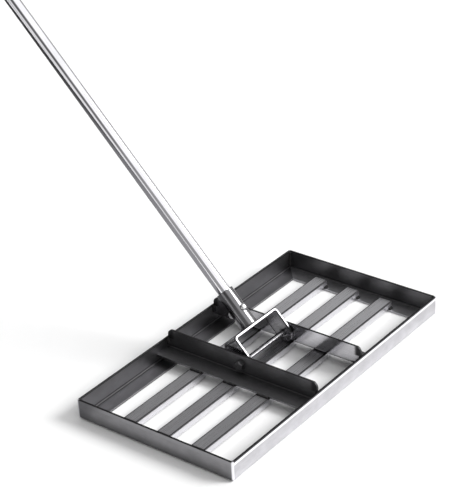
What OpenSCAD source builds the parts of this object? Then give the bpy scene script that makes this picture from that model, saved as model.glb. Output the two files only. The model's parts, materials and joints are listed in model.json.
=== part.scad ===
// Lawn leveling rake.
// A flat steel head lies on the ground: four angle rails make a shallow open frame, three slats cross
// its floor, and two angle bars over the slats carry a bolt. A long handle in three bolted sections
// swings on that bolt, by a strap that is bent to a stirrup.
// Millimetres. X runs along the head, +Y points to the front, away from the handle's lean, and Z is up.
// The origin lies on the ground, below the middle of the pivot bolt.

/* [Head frame] */
// Length of the head over its end rails
head_l = 480; // [420:5:600]
// Width of the head over its long rails
head_w = 255; // [225:5:320]
// Height of the rails' upright walls
rail_h = 30; // [26:1:40]
// Width of the long rails' bottom flanges
rail_flange = 27; // [20:1:36]
// Width of the end rails' bottom flanges
end_flange = 30; // [20:1:36]
// Thickness of the rails
rail_t = 3; // [2.5:0.5:5]
// Rounding of the frame's outer upright corners
corner_r = 2; // [1:0.5:4]

/* [Slats] */
// Width of each slat
slat_w = 22; // [14:1:28]
// Height of each slat
slat_h = 10; // [7:1:14]
// Wall of the slats' tube
slat_wall = 2; // [1:0.25:2.5]
// Rounding of the slats' long edges
slat_r = 1.5; // [0.5:0.25:3]
// Length of slat that rests on each end rail's flange
slat_lap = 8; // [5:1:16]

/* [Cross bars] */
// Clear width between the two cross bars
channel_w = 100; // [96:1:140]
// Height of the bars' upright legs
bar_leg = 30; // [28:1:44]
// Width of the bars' bottom flanges
bar_flange = 30; // [18:1:40]
// Thickness of the bars
bar_t = 3; // [2.5:0.5:5]
// Rounding of the legs' upper corners
bar_corner_r = 8; // [2:0.5:12]

/* [Angle section] */
// Rounding of the angle bars' long edges
edge_r = 0.6; // [0.3:0.1:1]
// Inner radius of the angle bars' bend
root_r = 2.5; // [1:0.5:5]

/* [Pivot] */
// Diameter of the pivot bolt
pivot_d = 8; // [6:0.5:10]
// Width across the flats of the pivot bolt's head and nut
pivot_af = 13; // [12:0.5:16]
// Height of the pivot bolt's head
pivot_head_h = 5.3; // [4:0.1:8]
// Height of the pivot bolt's lock nut
pivot_nut_h = 8; // [6:0.5:10]
// Diameter of the pivot washers
washer_d = 16; // [14:0.5:20]
// Thickness of the pivot washers
washer_t = 1.6; // [1:0.1:2.5]
// Diameter of the spacers between the stirrup and the right bar
spacer_d = 16; // [12:0.5:20]

/* [Stirrup] */
// Width of the strap
strap_w = 28; // [28:1:34]
// Thickness of the strap
strap_t = 4; // [3:0.5:6]
// Room that the stirrup leaves between the two cross bars
stirrup_room = 4; // [3:0.5:12]
// Distance from the pivot to the web's outer face
stirrup_reach = 35; // [28:1:60]
// Inner radius of the strap's bends
bend_r = 2; // [1:0.5:8]

/* [Socket] */
// Wall of the handle socket
socket_wall = 2.85; // [1.5:0.05:4]
// Length of the handle socket
socket_l = 58; // [44:1:90]
// Height of the cross bolt above the stirrup's web
socket_bolt_up = 25.5; // [14:0.5:34]
// Diameter of the cross bolt
socket_bolt_d = 6; // [4:0.5:8]
// Diameter of the cross bolt's head
socket_head_d = 10.5; // [10:0.5:14]
// Height of the cross bolt's head
socket_head_h = 4.2; // [2.5:0.1:5]
// Width across the flats of the cross bolt's nut
socket_nut_af = 10; // [10:0.5:13]
// Height of the cross bolt's nut
socket_nut_h = 6; // [4:0.5:8]

/* [Handle] */
// Angle between the handle and the ground, in degrees
handle_lean = 45.7; // [15:0.1:90]
// Outer diameter of the handle's tubes
tube_d = 19; // [16:0.5:25]
// Wall of the handle's tubes
tube_wall = 0.7; // [0.6:0.1:2]
// Length of the lower section
lower_l = 620; // [400:10:800]
// Length of the middle section
middle_l = 570; // [400:10:800]
// Length of the upper section
upper_l = 570; // [400:10:800]

/* [Handle joints] */
// Length of the collars over the handle's joints, and of the spigots in them
collar_l = 80; // [64:2:120]
// Wall of the collars
collar_wall = 3.85; // [3:0.05:6]
// Depth of the flat seats for bolt heads and nuts in the collars
collar_seat = 1.8; // [1.2:0.1:2.4]
// Chamfer on the collars' ends
collar_chamfer = 1.5; // [0.5:0.1:2.5]
// Distance from a collar's end to its nearest bolt
collar_bolt_in = 18; // [12:1:26]
// Wall of the spigots inside the joints
spigot_wall = 1.2; // [0.8:0.1:2]
// Diameter of the collar bolts
collar_bolt_d = 5; // [4:0.5:6]
// Diameter of the collar bolts' heads
collar_head_d = 9.5; // [8:0.5:12]
// Height of the collar bolts' heads
collar_head_h = 2.8; // [2:0.1:4]
// Width across the flats of the collar bolts' nuts
collar_nut_af = 8; // [8:0.5:10]
// Height of the collar bolts' nuts
collar_nut_h = 5; // [3.5:0.5:7]

/* [Grip and end cap] */
// Length of the grip
grip_l = 150; // [100:5:200]
// Wall of the grip
grip_wall = 3.85; // [2.5:0.05:6]
// Chamfer on the grip's ends
grip_chamfer = 1.5; // [0.5:0.1:2]
// Number of ring grooves in the grip
groove_count = 10; // [4:1:14]
// Width of each groove
groove_w = 3; // [1.5:0.5:5]
// Depth of each groove
groove_depth = 0.8; // [0.4:0.1:1.6]
// Length of the end cap's plug inside the tube
plug_l = 25; // [15:1:40]
// Thickness of the end cap's rim
cap_t = 4; // [3:0.5:8]
// Width of the hanging eye
eye_w = 22; // [18:1:26]
// Thickness of the hanging eye
eye_t = 10; // [6:0.5:14]
// Diameter of the hole in the hanging eye
eye_hole_d = 9; // [6:0.5:10]
// Height of the hole's centre above the end cap's rim
eye_up = 9; // [8:0.5:16]

/* [Welds] */
// Leg length of the head's weld beads
weld_leg = 3; // [2:0.5:4]
// Leg length of the bead round the socket's foot
socket_weld_leg = 1.5; // [1:0.1:3]

/* [Hidden] */
$fn = 64;

// Radial room of the stirrup on the pivot bolt
running_gap = 0.05;
// Radial room of the bolts in plain holes
bolt_gap = 0.2;
// Radial room between a nut and its bolt
thread_gap = 0.05;
// Radial room between the tubes and what they slide into
tube_gap = 0.15;
// Radial room of spigots and plugs in the tubes, and of the grip on its tube
plug_gap = 0.1;
// Room between parts that stop against each other along the handle
stop_gap = 0.3;
// Room at each face of a spacer
spacer_play = 0.2;
// Room between the stirrup and the left bar
side_gap = 0.3;
// Room under the stirrup's legs and the pivot washers
lift_gap = 1;
// Thread that stands out of a nut
thread_out = 1.5;
// How far a cut runs past the face that it leaves
over = 1;

// Share of a hexagon's width that its flat face keeps
hex_face_share = 0.95;
// Share of a lock nut's height that is hexagon, and its ring's share of the width
nut_hex_share = 0.7;
nut_ring_share = 0.88;
// Size of a round head's key hole, across and down
key_width_share = 0.5;
key_depth_share = 0.55;
// Most of the slats' hollow height that a corner's rounding may take
hollow_r_share = 0.4;
// Slope of the chamfer on hexagon corners, in degrees
hex_slope = 30;

// Head
wall_in_x = head_l / 2 - rail_t;
wall_in_y = head_w / 2 - rail_t;
flange_in_x = head_l / 2 - end_flange;
mitre_cut = 2 * max(rail_flange, end_flange);
slat_l = 2 * (flange_in_x + slat_lap);
slat_gap = (head_w - 2 * rail_flange - 3 * slat_w) / 4;
slat_pitch = slat_gap + slat_w;
slat_top = rail_t + slat_h;
slat_hollow = [slat_w - 2 * slat_wall, slat_h - 2 * slat_wall];
slat_hollow_r = min(slat_r, hollow_r_share * slat_hollow.y);
bar_in_x = channel_w / 2;
bar_out_x = bar_in_x + bar_t;
bar_top = slat_top + bar_leg;

// Pivot: the stirrup's legs clear the middle slat, and the washers clear the bars' fillets
pivot_z = slat_top + lift_gap + max(strap_w / 2, bar_t + root_r + washer_d / 2);
pivot_end = bar_out_x + washer_t + pivot_nut_h + thread_out;

// The stirrup runs beside the left bar, and two spacers fill the room on its right
stirrup_w = channel_w - stirrup_room;
handle_x = side_gap - stirrup_room / 2;
spacer_from = handle_x + stirrup_w / 2 + spacer_play;
spacer_t = (bar_in_x - 2 * spacer_play - spacer_from) / 2;

// Diameters along the handle
socket_bore_d = tube_d + 2 * tube_gap;
socket_d = socket_bore_d + 2 * socket_wall;
collar_d = socket_bore_d + 2 * collar_wall;
tube_bore_d = tube_d - 2 * tube_wall;
spigot_d = tube_bore_d - 2 * plug_gap;
grip_bore_d = tube_d + 2 * plug_gap;
grip_d = grip_bore_d + 2 * grip_wall;
collar_hole_d = collar_bolt_d + 2 * bolt_gap;
cross_l = max(collar_d, socket_d) + 2 * over;

// Places along the handle, from the pivot
lower_from = stirrup_reach + stop_gap;
lower_to = lower_from + lower_l;
middle_from = lower_to + stop_gap;
middle_to = middle_from + middle_l;
upper_from = middle_to + stop_gap;
upper_to = upper_from + upper_l;
socket_bolt_z = stirrup_reach + socket_bolt_up;
joint_places = [(lower_to + middle_from) / 2, (middle_to + upper_from) / 2];
collar_bolt_off = collar_l / 2 - collar_bolt_in;
collar_bolt_places = [for (z = joint_places) for (side = [-1, 1]) z + side * collar_bolt_off];
groove_step = grip_l / (groove_count + 1);

// Rectangle from the origin to its size, with rounded corners
module soft_rect(size, r) {
    translate([r, 0]) square([size.x - 2 * r, size.y]);
    translate([0, r]) square([size.x, size.y - 2 * r]);
    for (x = [r, size.x - r], y = [r, size.y - r]) translate([x, y]) circle(r);
}

// Cylinder with both ends chamfered
module soft_cylinder(d, h, chamfer) {
    cylinder(d1 = d - 2 * chamfer, d2 = d, h = chamfer);
    translate([0, 0, chamfer]) cylinder(d = d, h = h - 2 * chamfer);
    translate([0, 0, h - chamfer]) cylinder(d1 = d, d2 = d - 2 * chamfer, h = chamfer);
}

// Section of a bent angle bar: heel at the origin, foot along X, leg along Y
module angle_section(foot, leg, t) {
    heel_r = t + root_r;
    from = heel_r - edge_r;
    translate([from, 0]) soft_rect([foot - from, t], edge_r);
    translate([0, from]) soft_rect([t, leg - from], edge_r);
    difference() {
        intersection() {
            square(heel_r);
            translate([heel_r, heel_r]) circle(heel_r);
        }
        translate([heel_r, heel_r]) circle(root_r);
    }
}

// Quarter-round weld bead along Z, its square corner on the Z axis
module bead(length, leg) {
    intersection() {
        cylinder(r = leg, h = length);
        cube([leg, leg, length]);
    }
}

// Cutter that rounds a square corner: the corner points along +X and -Y, and lies on the Z axis
module corner_cutter(r, h) {
    translate([-r, r, 0]) difference() {
        translate([0, -r - over, 0]) cube([r + over, r + over, h]);
        translate([0, 0, -over]) cylinder(r = r, h = h + 2 * over);
    }
}

// One rail of the frame, on the -Y side, its ends mitred to meet rails with another flange
module rail(length, reach, flange, next_flange) {
    tall = rail_h + 2 * over;
    mitre = atan2(next_flange, flange);
    color("dimgray") difference() {
        translate([0, -reach, 0]) rotate([90, 0, 90])
            linear_extrude(length, center = true) angle_section(flange, rail_h, rail_t);
        for (side = [0, 1]) mirror([side, 0, 0]) translate([length / 2, -reach, -over]) {
            rotate([0, 0, mitre]) translate([0, -mitre_cut, 0]) cube([mitre_cut, 2 * mitre_cut, tall]);
            corner_cutter(corner_r, tall);
        }
    }
}

module rear_rail() { rail(head_l, head_w / 2, rail_flange, end_flange); }
module front_rail() { rotate([0, 0, 180]) rear_rail(); }
module right_end_rail() { rotate([0, 0, 90]) rail(head_w, head_l / 2, end_flange, rail_flange); }
module left_end_rail() { rotate([0, 0, 180]) right_end_rail(); }

// A slat is a flat rectangular tube that lies on the end rails' flanges
module slat(y) {
    color("gray") translate([0, y - slat_w / 2, rail_t]) rotate([90, 0, 90])
        linear_extrude(slat_l, center = true) difference() {
            soft_rect([slat_w, slat_h], slat_r);
            translate([slat_wall, slat_wall]) soft_rect(slat_hollow, slat_hollow_r);
        }
}

module rear_slat() { slat(-slat_pitch); }
module middle_slat() { slat(0); }
module front_slat() { slat(slat_pitch); }

// A cross bar stands on the slats, its flange turned away from the stirrup
module right_cross_bar() {
    color([0.2, 0.2, 0.21]) difference() {
        translate([bar_in_x, 0, slat_top]) rotate([90, 0, 0])
            linear_extrude(2 * wall_in_y, center = true) angle_section(bar_flange, bar_leg, bar_t);
        for (side = [0, 1]) mirror([0, side, 0]) translate([bar_in_x - over, -wall_in_y, bar_top])
            rotate([90, 0, 90]) mirror([1, 0, 0]) rotate([0, 0, 90])
                corner_cutter(bar_corner_r, bar_t + 2 * over);
        translate([bar_in_x - over, 0, pivot_z]) rotate([0, 90, 0])
            cylinder(d = pivot_d + 2 * bolt_gap, h = bar_t + 2 * over);
    }
}

module left_cross_bar() { mirror([1, 0, 0]) right_cross_bar(); }

// Beads in the frame's four inside corners, above the rails' fillets
module corner_welds() {
    foot = rail_t + root_r;
    color("darkgray") for (sx = [0, 1], sy = [0, 1]) mirror([sx, 0, 0]) mirror([0, sy, 0])
        translate([wall_in_x, wall_in_y, foot]) rotate([0, 0, 180]) bead(rail_h - edge_r - foot, weld_leg);
}

// Beads along the sides and across the end of each lapped slat end
module slat_welds() {
    end_w = slat_w - 2 * slat_r;
    color("darkgray") for (sx = [0, 1], y = [-slat_pitch, 0, slat_pitch]) mirror([sx, 0, 0])
        translate([flange_in_x, y, rail_t]) {
            for (sy = [0, 1]) mirror([0, sy, 0]) translate([0, slat_w / 2, 0]) rotate([90, 0, 90])
                bead(slat_lap, weld_leg);
            translate([slat_lap, end_w / 2, 0]) rotate([90, 0, 0]) bead(end_w, weld_leg);
        }
}

// Beads up both faces of the bars' ends, and along the flanges' edges on the slats
module cross_bar_welds() {
    foot = slat_top + bar_t + root_r;
    edge_w = slat_w - 2 * slat_r;
    color("darkgray") for (sx = [0, 1]) mirror([sx, 0, 0]) {
        for (sy = [0, 1]) mirror([0, sy, 0]) {
            translate([bar_out_x, wall_in_y, foot]) rotate([0, 0, -90]) bead(rail_h - edge_r - foot, weld_leg);
            translate([bar_in_x, wall_in_y, foot]) rotate([0, 0, 180]) bead(rail_h - edge_r - foot, weld_leg);
        }
        for (y = [-slat_pitch, 0, slat_pitch])
            translate([bar_in_x + bar_flange, y + edge_w / 2, slat_top]) rotate([90, 0, 0]) bead(edge_w, weld_leg);
    }
}

// Hexagon head that stands on the XY plane, its corners chamfered at the top
module hex_head(af, h) {
    face_r = hex_face_share * af / 2;
    intersection() {
        cylinder(d = af / cos(30), h = h, $fn = 6);
        cylinder(r1 = face_r + h / tan(hex_slope), r2 = face_r, h = h);
    }
}

// Lock nut that stands on the XY plane, with the round ring of its insert on top
module lock_nut(d, af, h) {
    difference() {
        union() {
            hex_head(af, nut_hex_share * h);
            cylinder(d = nut_ring_share * af, h = h);
        }
        translate([0, 0, -over]) cylinder(d = d + 2 * thread_gap, h = h + 2 * over);
    }
}

// Round-headed bolt along Z: the head stands at seat, and the shank ends at -tail
module round_bolt(d, head_d, head_h, seat, tail) {
    ball_r = (head_d * head_d / 4 + head_h * head_h) / (2 * head_h);
    key_d = key_width_share * head_d;
    key_depth = key_depth_share * head_h;
    translate([0, 0, -tail]) cylinder(d = d, h = tail + seat);
    translate([0, 0, seat]) difference() {
        intersection() {
            translate([0, 0, head_h - ball_r]) sphere(ball_r);
            cylinder(d = 2 * head_d, h = head_h);
        }
        translate([0, 0, head_h - key_depth]) cylinder(d = key_d, h = key_depth + over, $fn = 6);
    }
}

// Turns Z along the pivot bolt, with the origin in its middle
module on_pivot() { translate([0, 0, pivot_z]) rotate([0, 90, 0]) children(); }

module pivot_bolt() {
    color("silver") on_pivot() {
        translate([0, 0, bar_out_x + washer_t]) hex_head(pivot_af, pivot_head_h);
        translate([0, 0, -pivot_end]) cylinder(d = pivot_d, h = pivot_end + bar_out_x + washer_t);
    }
}

module pivot_washers() {
    color("silver") on_pivot() for (side = [0, 1]) mirror([0, 0, side]) translate([0, 0, bar_out_x])
        difference() {
            cylinder(d = washer_d, h = washer_t);
            translate([0, 0, -over]) cylinder(d = pivot_d + 2 * bolt_gap, h = washer_t + 2 * over);
        }
}

module pivot_nut() {
    color("silver") on_pivot() mirror([0, 0, 1]) translate([0, 0, bar_out_x + washer_t])
        lock_nut(pivot_d, pivot_af, pivot_nut_h);
}

module pivot_spacers() {
    color("silver") on_pivot() for (i = [0, 1]) translate([0, 0, spacer_from + i * (spacer_t + spacer_play)])
        difference() {
            cylinder(d = spacer_d, h = spacer_t);
            translate([0, 0, -over]) cylinder(d = pivot_d + 2 * bolt_gap, h = spacer_t + 2 * over);
        }
}

// Turns Z along the handle, with the origin at the pivot and +Y on the handle's upper side
module on_handle(up = 0) {
    translate([handle_x, 0, pivot_z]) rotate([90 - handle_lean, 0, 0]) translate([0, 0, up]) children();
}

// Hole right through the handle, along its upper side's normal
module cross_hole(z, d) {
    translate([0, 0, z]) rotate([90, 0, 0]) cylinder(d = d, h = cross_l, center = true);
}

// Block with its two upper edges rounded, from Z = -drop up to top
module bent_block(half, drop, top, r, depth) {
    translate([-half, -depth / 2, -drop]) cube([2 * half, depth, drop + top - r]);
    translate([r - half, -depth / 2, -drop]) cube([2 * (half - r), depth, drop + top]);
    for (side = [-1, 1]) translate([side * (half - r), 0, top - r]) rotate([90, 0, 0])
        cylinder(r = r, h = depth, center = true);
}

// The strap runs up one leg, over the web and down the other, with round ends about the pivot
module stirrup() {
    half = stirrup_w / 2;
    color("lightgray") on_handle() difference() {
        union() {
            difference() {
                bent_block(half, 0, stirrup_reach, bend_r + strap_t, strap_w);
                bent_block(half - strap_t, over, stirrup_reach - strap_t, bend_r, strap_w + 2 * over);
            }
            for (side = [-1, 1]) translate([side * (half - strap_t / 2), 0, 0]) rotate([0, 90, 0])
                cylinder(d = strap_w, h = strap_t, center = true);
        }
        rotate([0, 90, 0]) cylinder(d = pivot_d + 2 * running_gap, h = stirrup_w + 2 * over, center = true);
    }
}

module handle_socket() {
    color("darkgray") on_handle() difference() {
        translate([0, 0, stirrup_reach]) cylinder(d = socket_d, h = socket_l);
        translate([0, 0, stirrup_reach - over]) cylinder(d = socket_bore_d, h = socket_l + 2 * over);
        cross_hole(socket_bolt_z, socket_bolt_d + 2 * bolt_gap);
    }
}

module socket_weld() {
    color("darkgray") on_handle(stirrup_reach) rotate_extrude() translate([socket_d / 2, 0])
        intersection() {
            circle(socket_weld_leg);
            square(socket_weld_leg);
        }
}

module socket_bolt() {
    color("silver") on_handle(socket_bolt_z) rotate([-90, 0, 0])
        round_bolt(socket_bolt_d, socket_head_d, socket_head_h, socket_d / 2,
            socket_d / 2 + socket_nut_h + thread_out);
}

module socket_nut() {
    color("silver") on_handle(socket_bolt_z) rotate([90, 0, 0]) translate([0, 0, socket_d / 2])
        lock_nut(socket_bolt_d, socket_nut_af, socket_nut_h);
}

// One section of the handle between two places, drilled for its bolts
module handle_tube(from, to, holes, hole_d) {
    color("gainsboro") on_handle() difference() {
        translate([0, 0, from]) cylinder(d = tube_d, h = to - from);
        translate([0, 0, from - over]) cylinder(d = tube_bore_d, h = to - from + 2 * over);
        for (i = [0 : len(holes) - 1]) cross_hole(holes[i], hole_d[i]);
    }
}

module lower_tube() {
    handle_tube(lower_from, lower_to, [socket_bolt_z, collar_bolt_places[0]],
        [socket_bolt_d + 2 * bolt_gap, collar_hole_d]);
}

module middle_tube() {
    handle_tube(middle_from, middle_to, [collar_bolt_places[1], collar_bolt_places[2]],
        [collar_hole_d, collar_hole_d]);
}

module upper_tube() {
    handle_tube(upper_from, upper_to, [collar_bolt_places[3]], [collar_hole_d]);
}

// Inner tubes that bridge the gaps between the sections
module joint_spigots() {
    color("darkgray") on_handle() difference() {
        for (z = joint_places) translate([0, 0, z]) difference() {
            cylinder(d = spigot_d, h = collar_l, center = true);
            cylinder(d = spigot_d - 2 * spigot_wall, h = collar_l + 2 * over, center = true);
        }
        for (z = collar_bolt_places) cross_hole(z, collar_hole_d);
    }
}

// Sleeve over a joint, with flat seats for the bolts' heads and nuts
module collar(z) {
    head_seat_d = collar_head_d + 2 * bolt_gap;
    nut_seat_d = collar_nut_af / cos(30) + 2 * bolt_gap;
    seat_y = collar_d / 2 - collar_seat;
    color([0.12, 0.12, 0.13]) on_handle(z) difference() {
        translate([0, 0, -collar_l / 2]) soft_cylinder(collar_d, collar_l, collar_chamfer);
        cylinder(d = socket_bore_d, h = collar_l + 2 * over, center = true);
        for (side = [-1, 1]) {
            cross_hole(side * collar_bolt_off, collar_hole_d);
            translate([0, 0, side * collar_bolt_off]) {
                rotate([-90, 0, 0]) translate([0, 0, seat_y]) cylinder(d = head_seat_d, h = collar_d);
                rotate([90, 0, 0]) translate([0, 0, seat_y]) cylinder(d = nut_seat_d, h = collar_d);
            }
        }
    }
}

module lower_collar() { collar(joint_places[0]); }
module upper_collar() { collar(joint_places[1]); }

module collar_bolts() {
    seat_y = collar_d / 2 - collar_seat;
    color("silver") for (z = collar_bolt_places) on_handle(z) rotate([-90, 0, 0])
        round_bolt(collar_bolt_d, collar_head_d, collar_head_h, seat_y, seat_y + collar_nut_h + thread_out);
}

module collar_nuts() {
    seat_y = collar_d / 2 - collar_seat;
    color("silver") for (z = collar_bolt_places) on_handle(z) rotate([90, 0, 0]) translate([0, 0, seat_y])
        lock_nut(collar_bolt_d, collar_nut_af, collar_nut_h);
}

// Soft sleeve on the upper end, with ring grooves for the hand
module grip() {
    color([0.1, 0.1, 0.1]) on_handle(upper_to - grip_l) difference() {
        soft_cylinder(grip_d, grip_l, grip_chamfer);
        translate([0, 0, -over]) cylinder(d = grip_bore_d, h = grip_l + 2 * over);
        for (i = [1 : groove_count]) translate([0, 0, i * groove_step]) difference() {
            cylinder(d = grip_d + 2 * over, h = groove_w, center = true);
            cylinder(d = grip_d - 2 * groove_depth, h = groove_w + 2 * over, center = true);
        }
    }
}

// Plug in the open end of the handle, with a rim over the grip and an eye to hang the tool by
module end_cap() {
    color([0.12, 0.12, 0.13]) on_handle(upper_to) difference() {
        union() {
            translate([0, 0, -plug_l]) cylinder(d = spigot_d, h = plug_l + cap_t / 2);
            soft_cylinder(grip_d, cap_t, grip_chamfer / 2);
            translate([-eye_w / 2, -eye_t / 2, cap_t / 2]) cube([eye_w, eye_t, cap_t / 2 + eye_up]);
            translate([0, 0, cap_t + eye_up]) rotate([90, 0, 0]) cylinder(d = eye_w, h = eye_t, center = true);
        }
        translate([0, 0, cap_t + eye_up]) rotate([90, 0, 0])
            cylinder(d = eye_hole_d, h = eye_t + 2 * over, center = true);
    }
}

front_rail();
rear_rail();
right_end_rail();
left_end_rail();
rear_slat();
middle_slat();
front_slat();
right_cross_bar();
left_cross_bar();
corner_welds();
slat_welds();
cross_bar_welds();
pivot_bolt();
pivot_washers();
pivot_nut();
pivot_spacers();
stirrup();
handle_socket();
socket_weld();
socket_bolt();
socket_nut();
lower_tube();
middle_tube();
upper_tube();
joint_spigots();
lower_collar();
upper_collar();
collar_bolts();
collar_nuts();
grip();
end_cap();
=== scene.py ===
# %% [markdown]
# # A lawn leveling rake
# The tool is a flat steel head with a long tube handle that swings on a bolt. Its construction comes
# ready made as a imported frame, in metres: X runs along the head, +Y is the front and Z is up. This
# lesson dresses that frame. It sets the camera and the light, gives each bar of steel its finish, and
# models what the construction keeps plain: welds, bolts, the bent stirrup, the turned and moulded parts.

# %% Load the frame
import json
import math

import bpy
from mathutils import Matrix, Vector


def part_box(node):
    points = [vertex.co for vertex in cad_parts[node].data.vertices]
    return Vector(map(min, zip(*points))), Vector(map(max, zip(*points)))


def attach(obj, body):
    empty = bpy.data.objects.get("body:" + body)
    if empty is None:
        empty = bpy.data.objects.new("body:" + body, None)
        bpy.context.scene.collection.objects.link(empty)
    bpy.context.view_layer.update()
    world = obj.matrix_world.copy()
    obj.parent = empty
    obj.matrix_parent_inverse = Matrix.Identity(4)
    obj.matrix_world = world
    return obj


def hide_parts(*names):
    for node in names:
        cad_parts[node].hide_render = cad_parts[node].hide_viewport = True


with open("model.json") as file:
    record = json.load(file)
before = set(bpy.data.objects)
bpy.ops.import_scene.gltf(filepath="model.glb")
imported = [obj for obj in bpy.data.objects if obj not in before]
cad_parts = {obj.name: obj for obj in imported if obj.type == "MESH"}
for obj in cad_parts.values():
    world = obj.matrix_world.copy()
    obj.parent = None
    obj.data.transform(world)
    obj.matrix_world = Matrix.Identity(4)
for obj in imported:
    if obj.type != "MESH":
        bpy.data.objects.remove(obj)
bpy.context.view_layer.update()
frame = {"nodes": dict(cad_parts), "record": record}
nodes = frame["nodes"]
MM = 0.001

# %% [markdown]
# ## The camera
# The camera's place was worked out from the head's corners in the photograph: it looks down on the
# right end and the front, from a little over two metres, with a long lens and a slight roll. A camera
# can be aimed by hand or with a constraint. Here its three axes are built from the angles, because a
# fitted camera has exact numbers.

# %% The camera's axes
VIEW_AZIMUTH = math.radians(128.572)
VIEW_ELEVATION = math.radians(28.605)
VIEW_ROLL = math.radians(-2.949)


def columns(*axes):
    """A turn whose X, Y and Z axes point along three given directions."""
    return Matrix(axes).transposed().to_4x4()


def view_axes(azimuth, elevation, roll):
    """The camera's right, up and back, as three vectors."""
    out = math.cos(elevation)
    back = Vector((math.sin(azimuth) * out, -math.cos(azimuth) * out, math.sin(elevation)))
    level = Vector((math.cos(azimuth), math.sin(azimuth), 0))
    upright = back.cross(level)
    right = math.cos(roll) * level + math.sin(roll) * upright
    up = math.cos(roll) * upright - math.sin(roll) * level
    return right, up, back


view_right, view_up, view_back = view_axes(VIEW_AZIMUTH, VIEW_ELEVATION, VIEW_ROLL)
print("camera's back points to", [round(v, 3) for v in view_back])

# %% Camera
PHOTO_W = 452
VIEW_DISTANCE = 2396.14 * MM
VIEW_SLIDE_RIGHT = -52.78 * MM
VIEW_SLIDE_UP = 164.83 * MM
FOCAL_PIXELS = 1750.16
SENSOR_W = 36.0

camera_place = VIEW_DISTANCE * view_back + VIEW_SLIDE_RIGHT * view_right + VIEW_SLIDE_UP * view_up
lens = bpy.data.cameras.new("camera")
lens.sensor_fit = "HORIZONTAL"
lens.sensor_width = SENSOR_W
lens.lens = FOCAL_PIXELS * SENSOR_W / PHOTO_W
camera = bpy.data.objects.new("camera", lens)
bpy.context.scene.collection.objects.link(camera)
camera.matrix_world = Matrix.Translation(camera_place) @ columns(view_right, view_up, view_back)
bpy.context.scene.camera = camera
print("camera at", [round(v, 3) for v in camera_place], "lens", round(lens.lens, 1), "mm")

# %% [markdown]
# ## Nodes for light and finishes
# Light and finishes are small trees of nodes. They could be wired by hand in the shader editor. In a
# script that takes many lines, so a few helpers come first: one adds a node and sets or links its
# sockets, and two more wrap the nodes that are needed most.

# %% Node helpers
def add_node(tree, kind, settings, sockets):
    """Adds a node. Sockets are named or numbered, and take a value or another node's output."""
    node = tree.nodes.new(kind)
    for name, value in settings.items():
        setattr(node, name, value)
    for key, value in sockets.items():
        if isinstance(value, bpy.types.NodeSocket):
            tree.links.new(value, node.inputs[key])
        else:
            node.inputs[key].default_value = value
    return node


def ramp(tree, value, low, high, start=0.0, end=1.0):
    """Goes smoothly from start to end while value goes from low to high, and stays level beyond."""
    settings = {"interpolation_type": "SMOOTHSTEP"}
    sockets = {"Value": value, "From Min": low, "From Max": high, "To Min": start, "To Max": end}
    return add_node(tree, "ShaderNodeMapRange", settings, sockets).outputs["Result"]


def arithmetic(tree, operation, first, second=0.0):
    """One sum on one or two values."""
    return add_node(tree, "ShaderNodeMath", {"operation": operation}, {0: first, 1: second}).outputs[0]


print("node helpers are ready")

# %% [markdown]
# ## A finish in the making
# Every finish starts from the piece's own Object coordinates, so its pattern stays on the piece when the
# handle swings. A node group could hold what the finishes share. A small class does it here, because each
# finish then reads as a list of steps. Noise keeps to the middle of its range, so the parts of the range
# that the finishes stretch have names.

# %% Finish
NOISE_MID = (0.3, 0.7)
NOISE_WIDE = (0.2, 0.8)
TWO_NOISES = (0.7, 1.3)


class Finish:
    """A procedural material in the making."""

    def __init__(self, name):
        self.material = bpy.data.materials.new(name)
        self.material.use_nodes = True
        self.tree = self.material.node_tree
        self.tree.nodes.clear()
        self.place = add_node(self.tree, "ShaderNodeTexCoord", {}, {}).outputs["Object"]

    def axes(self, place=None):
        """The three coordinates of a place."""
        split = add_node(self.tree, "ShaderNodeSeparateXYZ", {}, {0: place or self.place})
        return split.outputs["X"], split.outputs["Y"], split.outputs["Z"]

    def noise(self, size, stretch=(1, 1, 1), detail=3.0, place=None):
        """Cloudy noise with features of a given size, drawn out along the axes by stretch."""
        scale = [1 / (size * s) for s in stretch]
        moved = add_node(self.tree, "ShaderNodeMapping", {}, {"Vector": place or self.place, "Scale": scale})
        sockets = {"Vector": moved.outputs[0], "Scale": 1.0, "Detail": detail}
        return add_node(self.tree, "ShaderNodeTexNoise", {}, sockets).outputs[0]

    def ramp(self, value, low, high, start=0.0, end=1.0):
        """A smooth ramp in this finish."""
        return ramp(self.tree, value, low, high, start, end)

    def sum(self, operation, first, second=0.0):
        """One sum in this finish."""
        return arithmetic(self.tree, operation, first, second)

    def mix(self, below, above, mask):
        """Below where the mask is 0, above where it is 1. A mix node has its numbers at sockets 2 and 3."""
        node = add_node(self.tree, "ShaderNodeMix", {"data_type": "FLOAT"}, {0: mask, 2: below, 3: above})
        return node.outputs[0]

    def colour(self, tone, dark, light):
        """A colour between dark and light. A mix node has its colours at sockets 6 and 7."""
        sockets = {0: tone, 6: (*dark, 1), 7: (*light, 1)}
        return add_node(self.tree, "ShaderNodeMix", {"data_type": "RGBA"}, sockets).outputs[2]

    def done(self, colour, roughness, relief=None, depth=0.0, metallic=1.0):
        """Wires the surface: colour and roughness, and a relief of a given depth."""
        sockets = {"Base Color": colour, "Roughness": roughness, "Metallic": metallic}
        if relief is not None:
            bump = {"Height": relief, "Distance": depth, "Strength": 1.0}
            sockets["Normal"] = add_node(self.tree, "ShaderNodeBump", {}, bump).outputs[0]
        surface = add_node(self.tree, "ShaderNodeBsdfPrincipled", {}, sockets)
        add_node(self.tree, "ShaderNodeOutputMaterial", {}, {"Surface": surface.outputs[0]})
        return self.material


print("finishes can be mixed")

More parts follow.
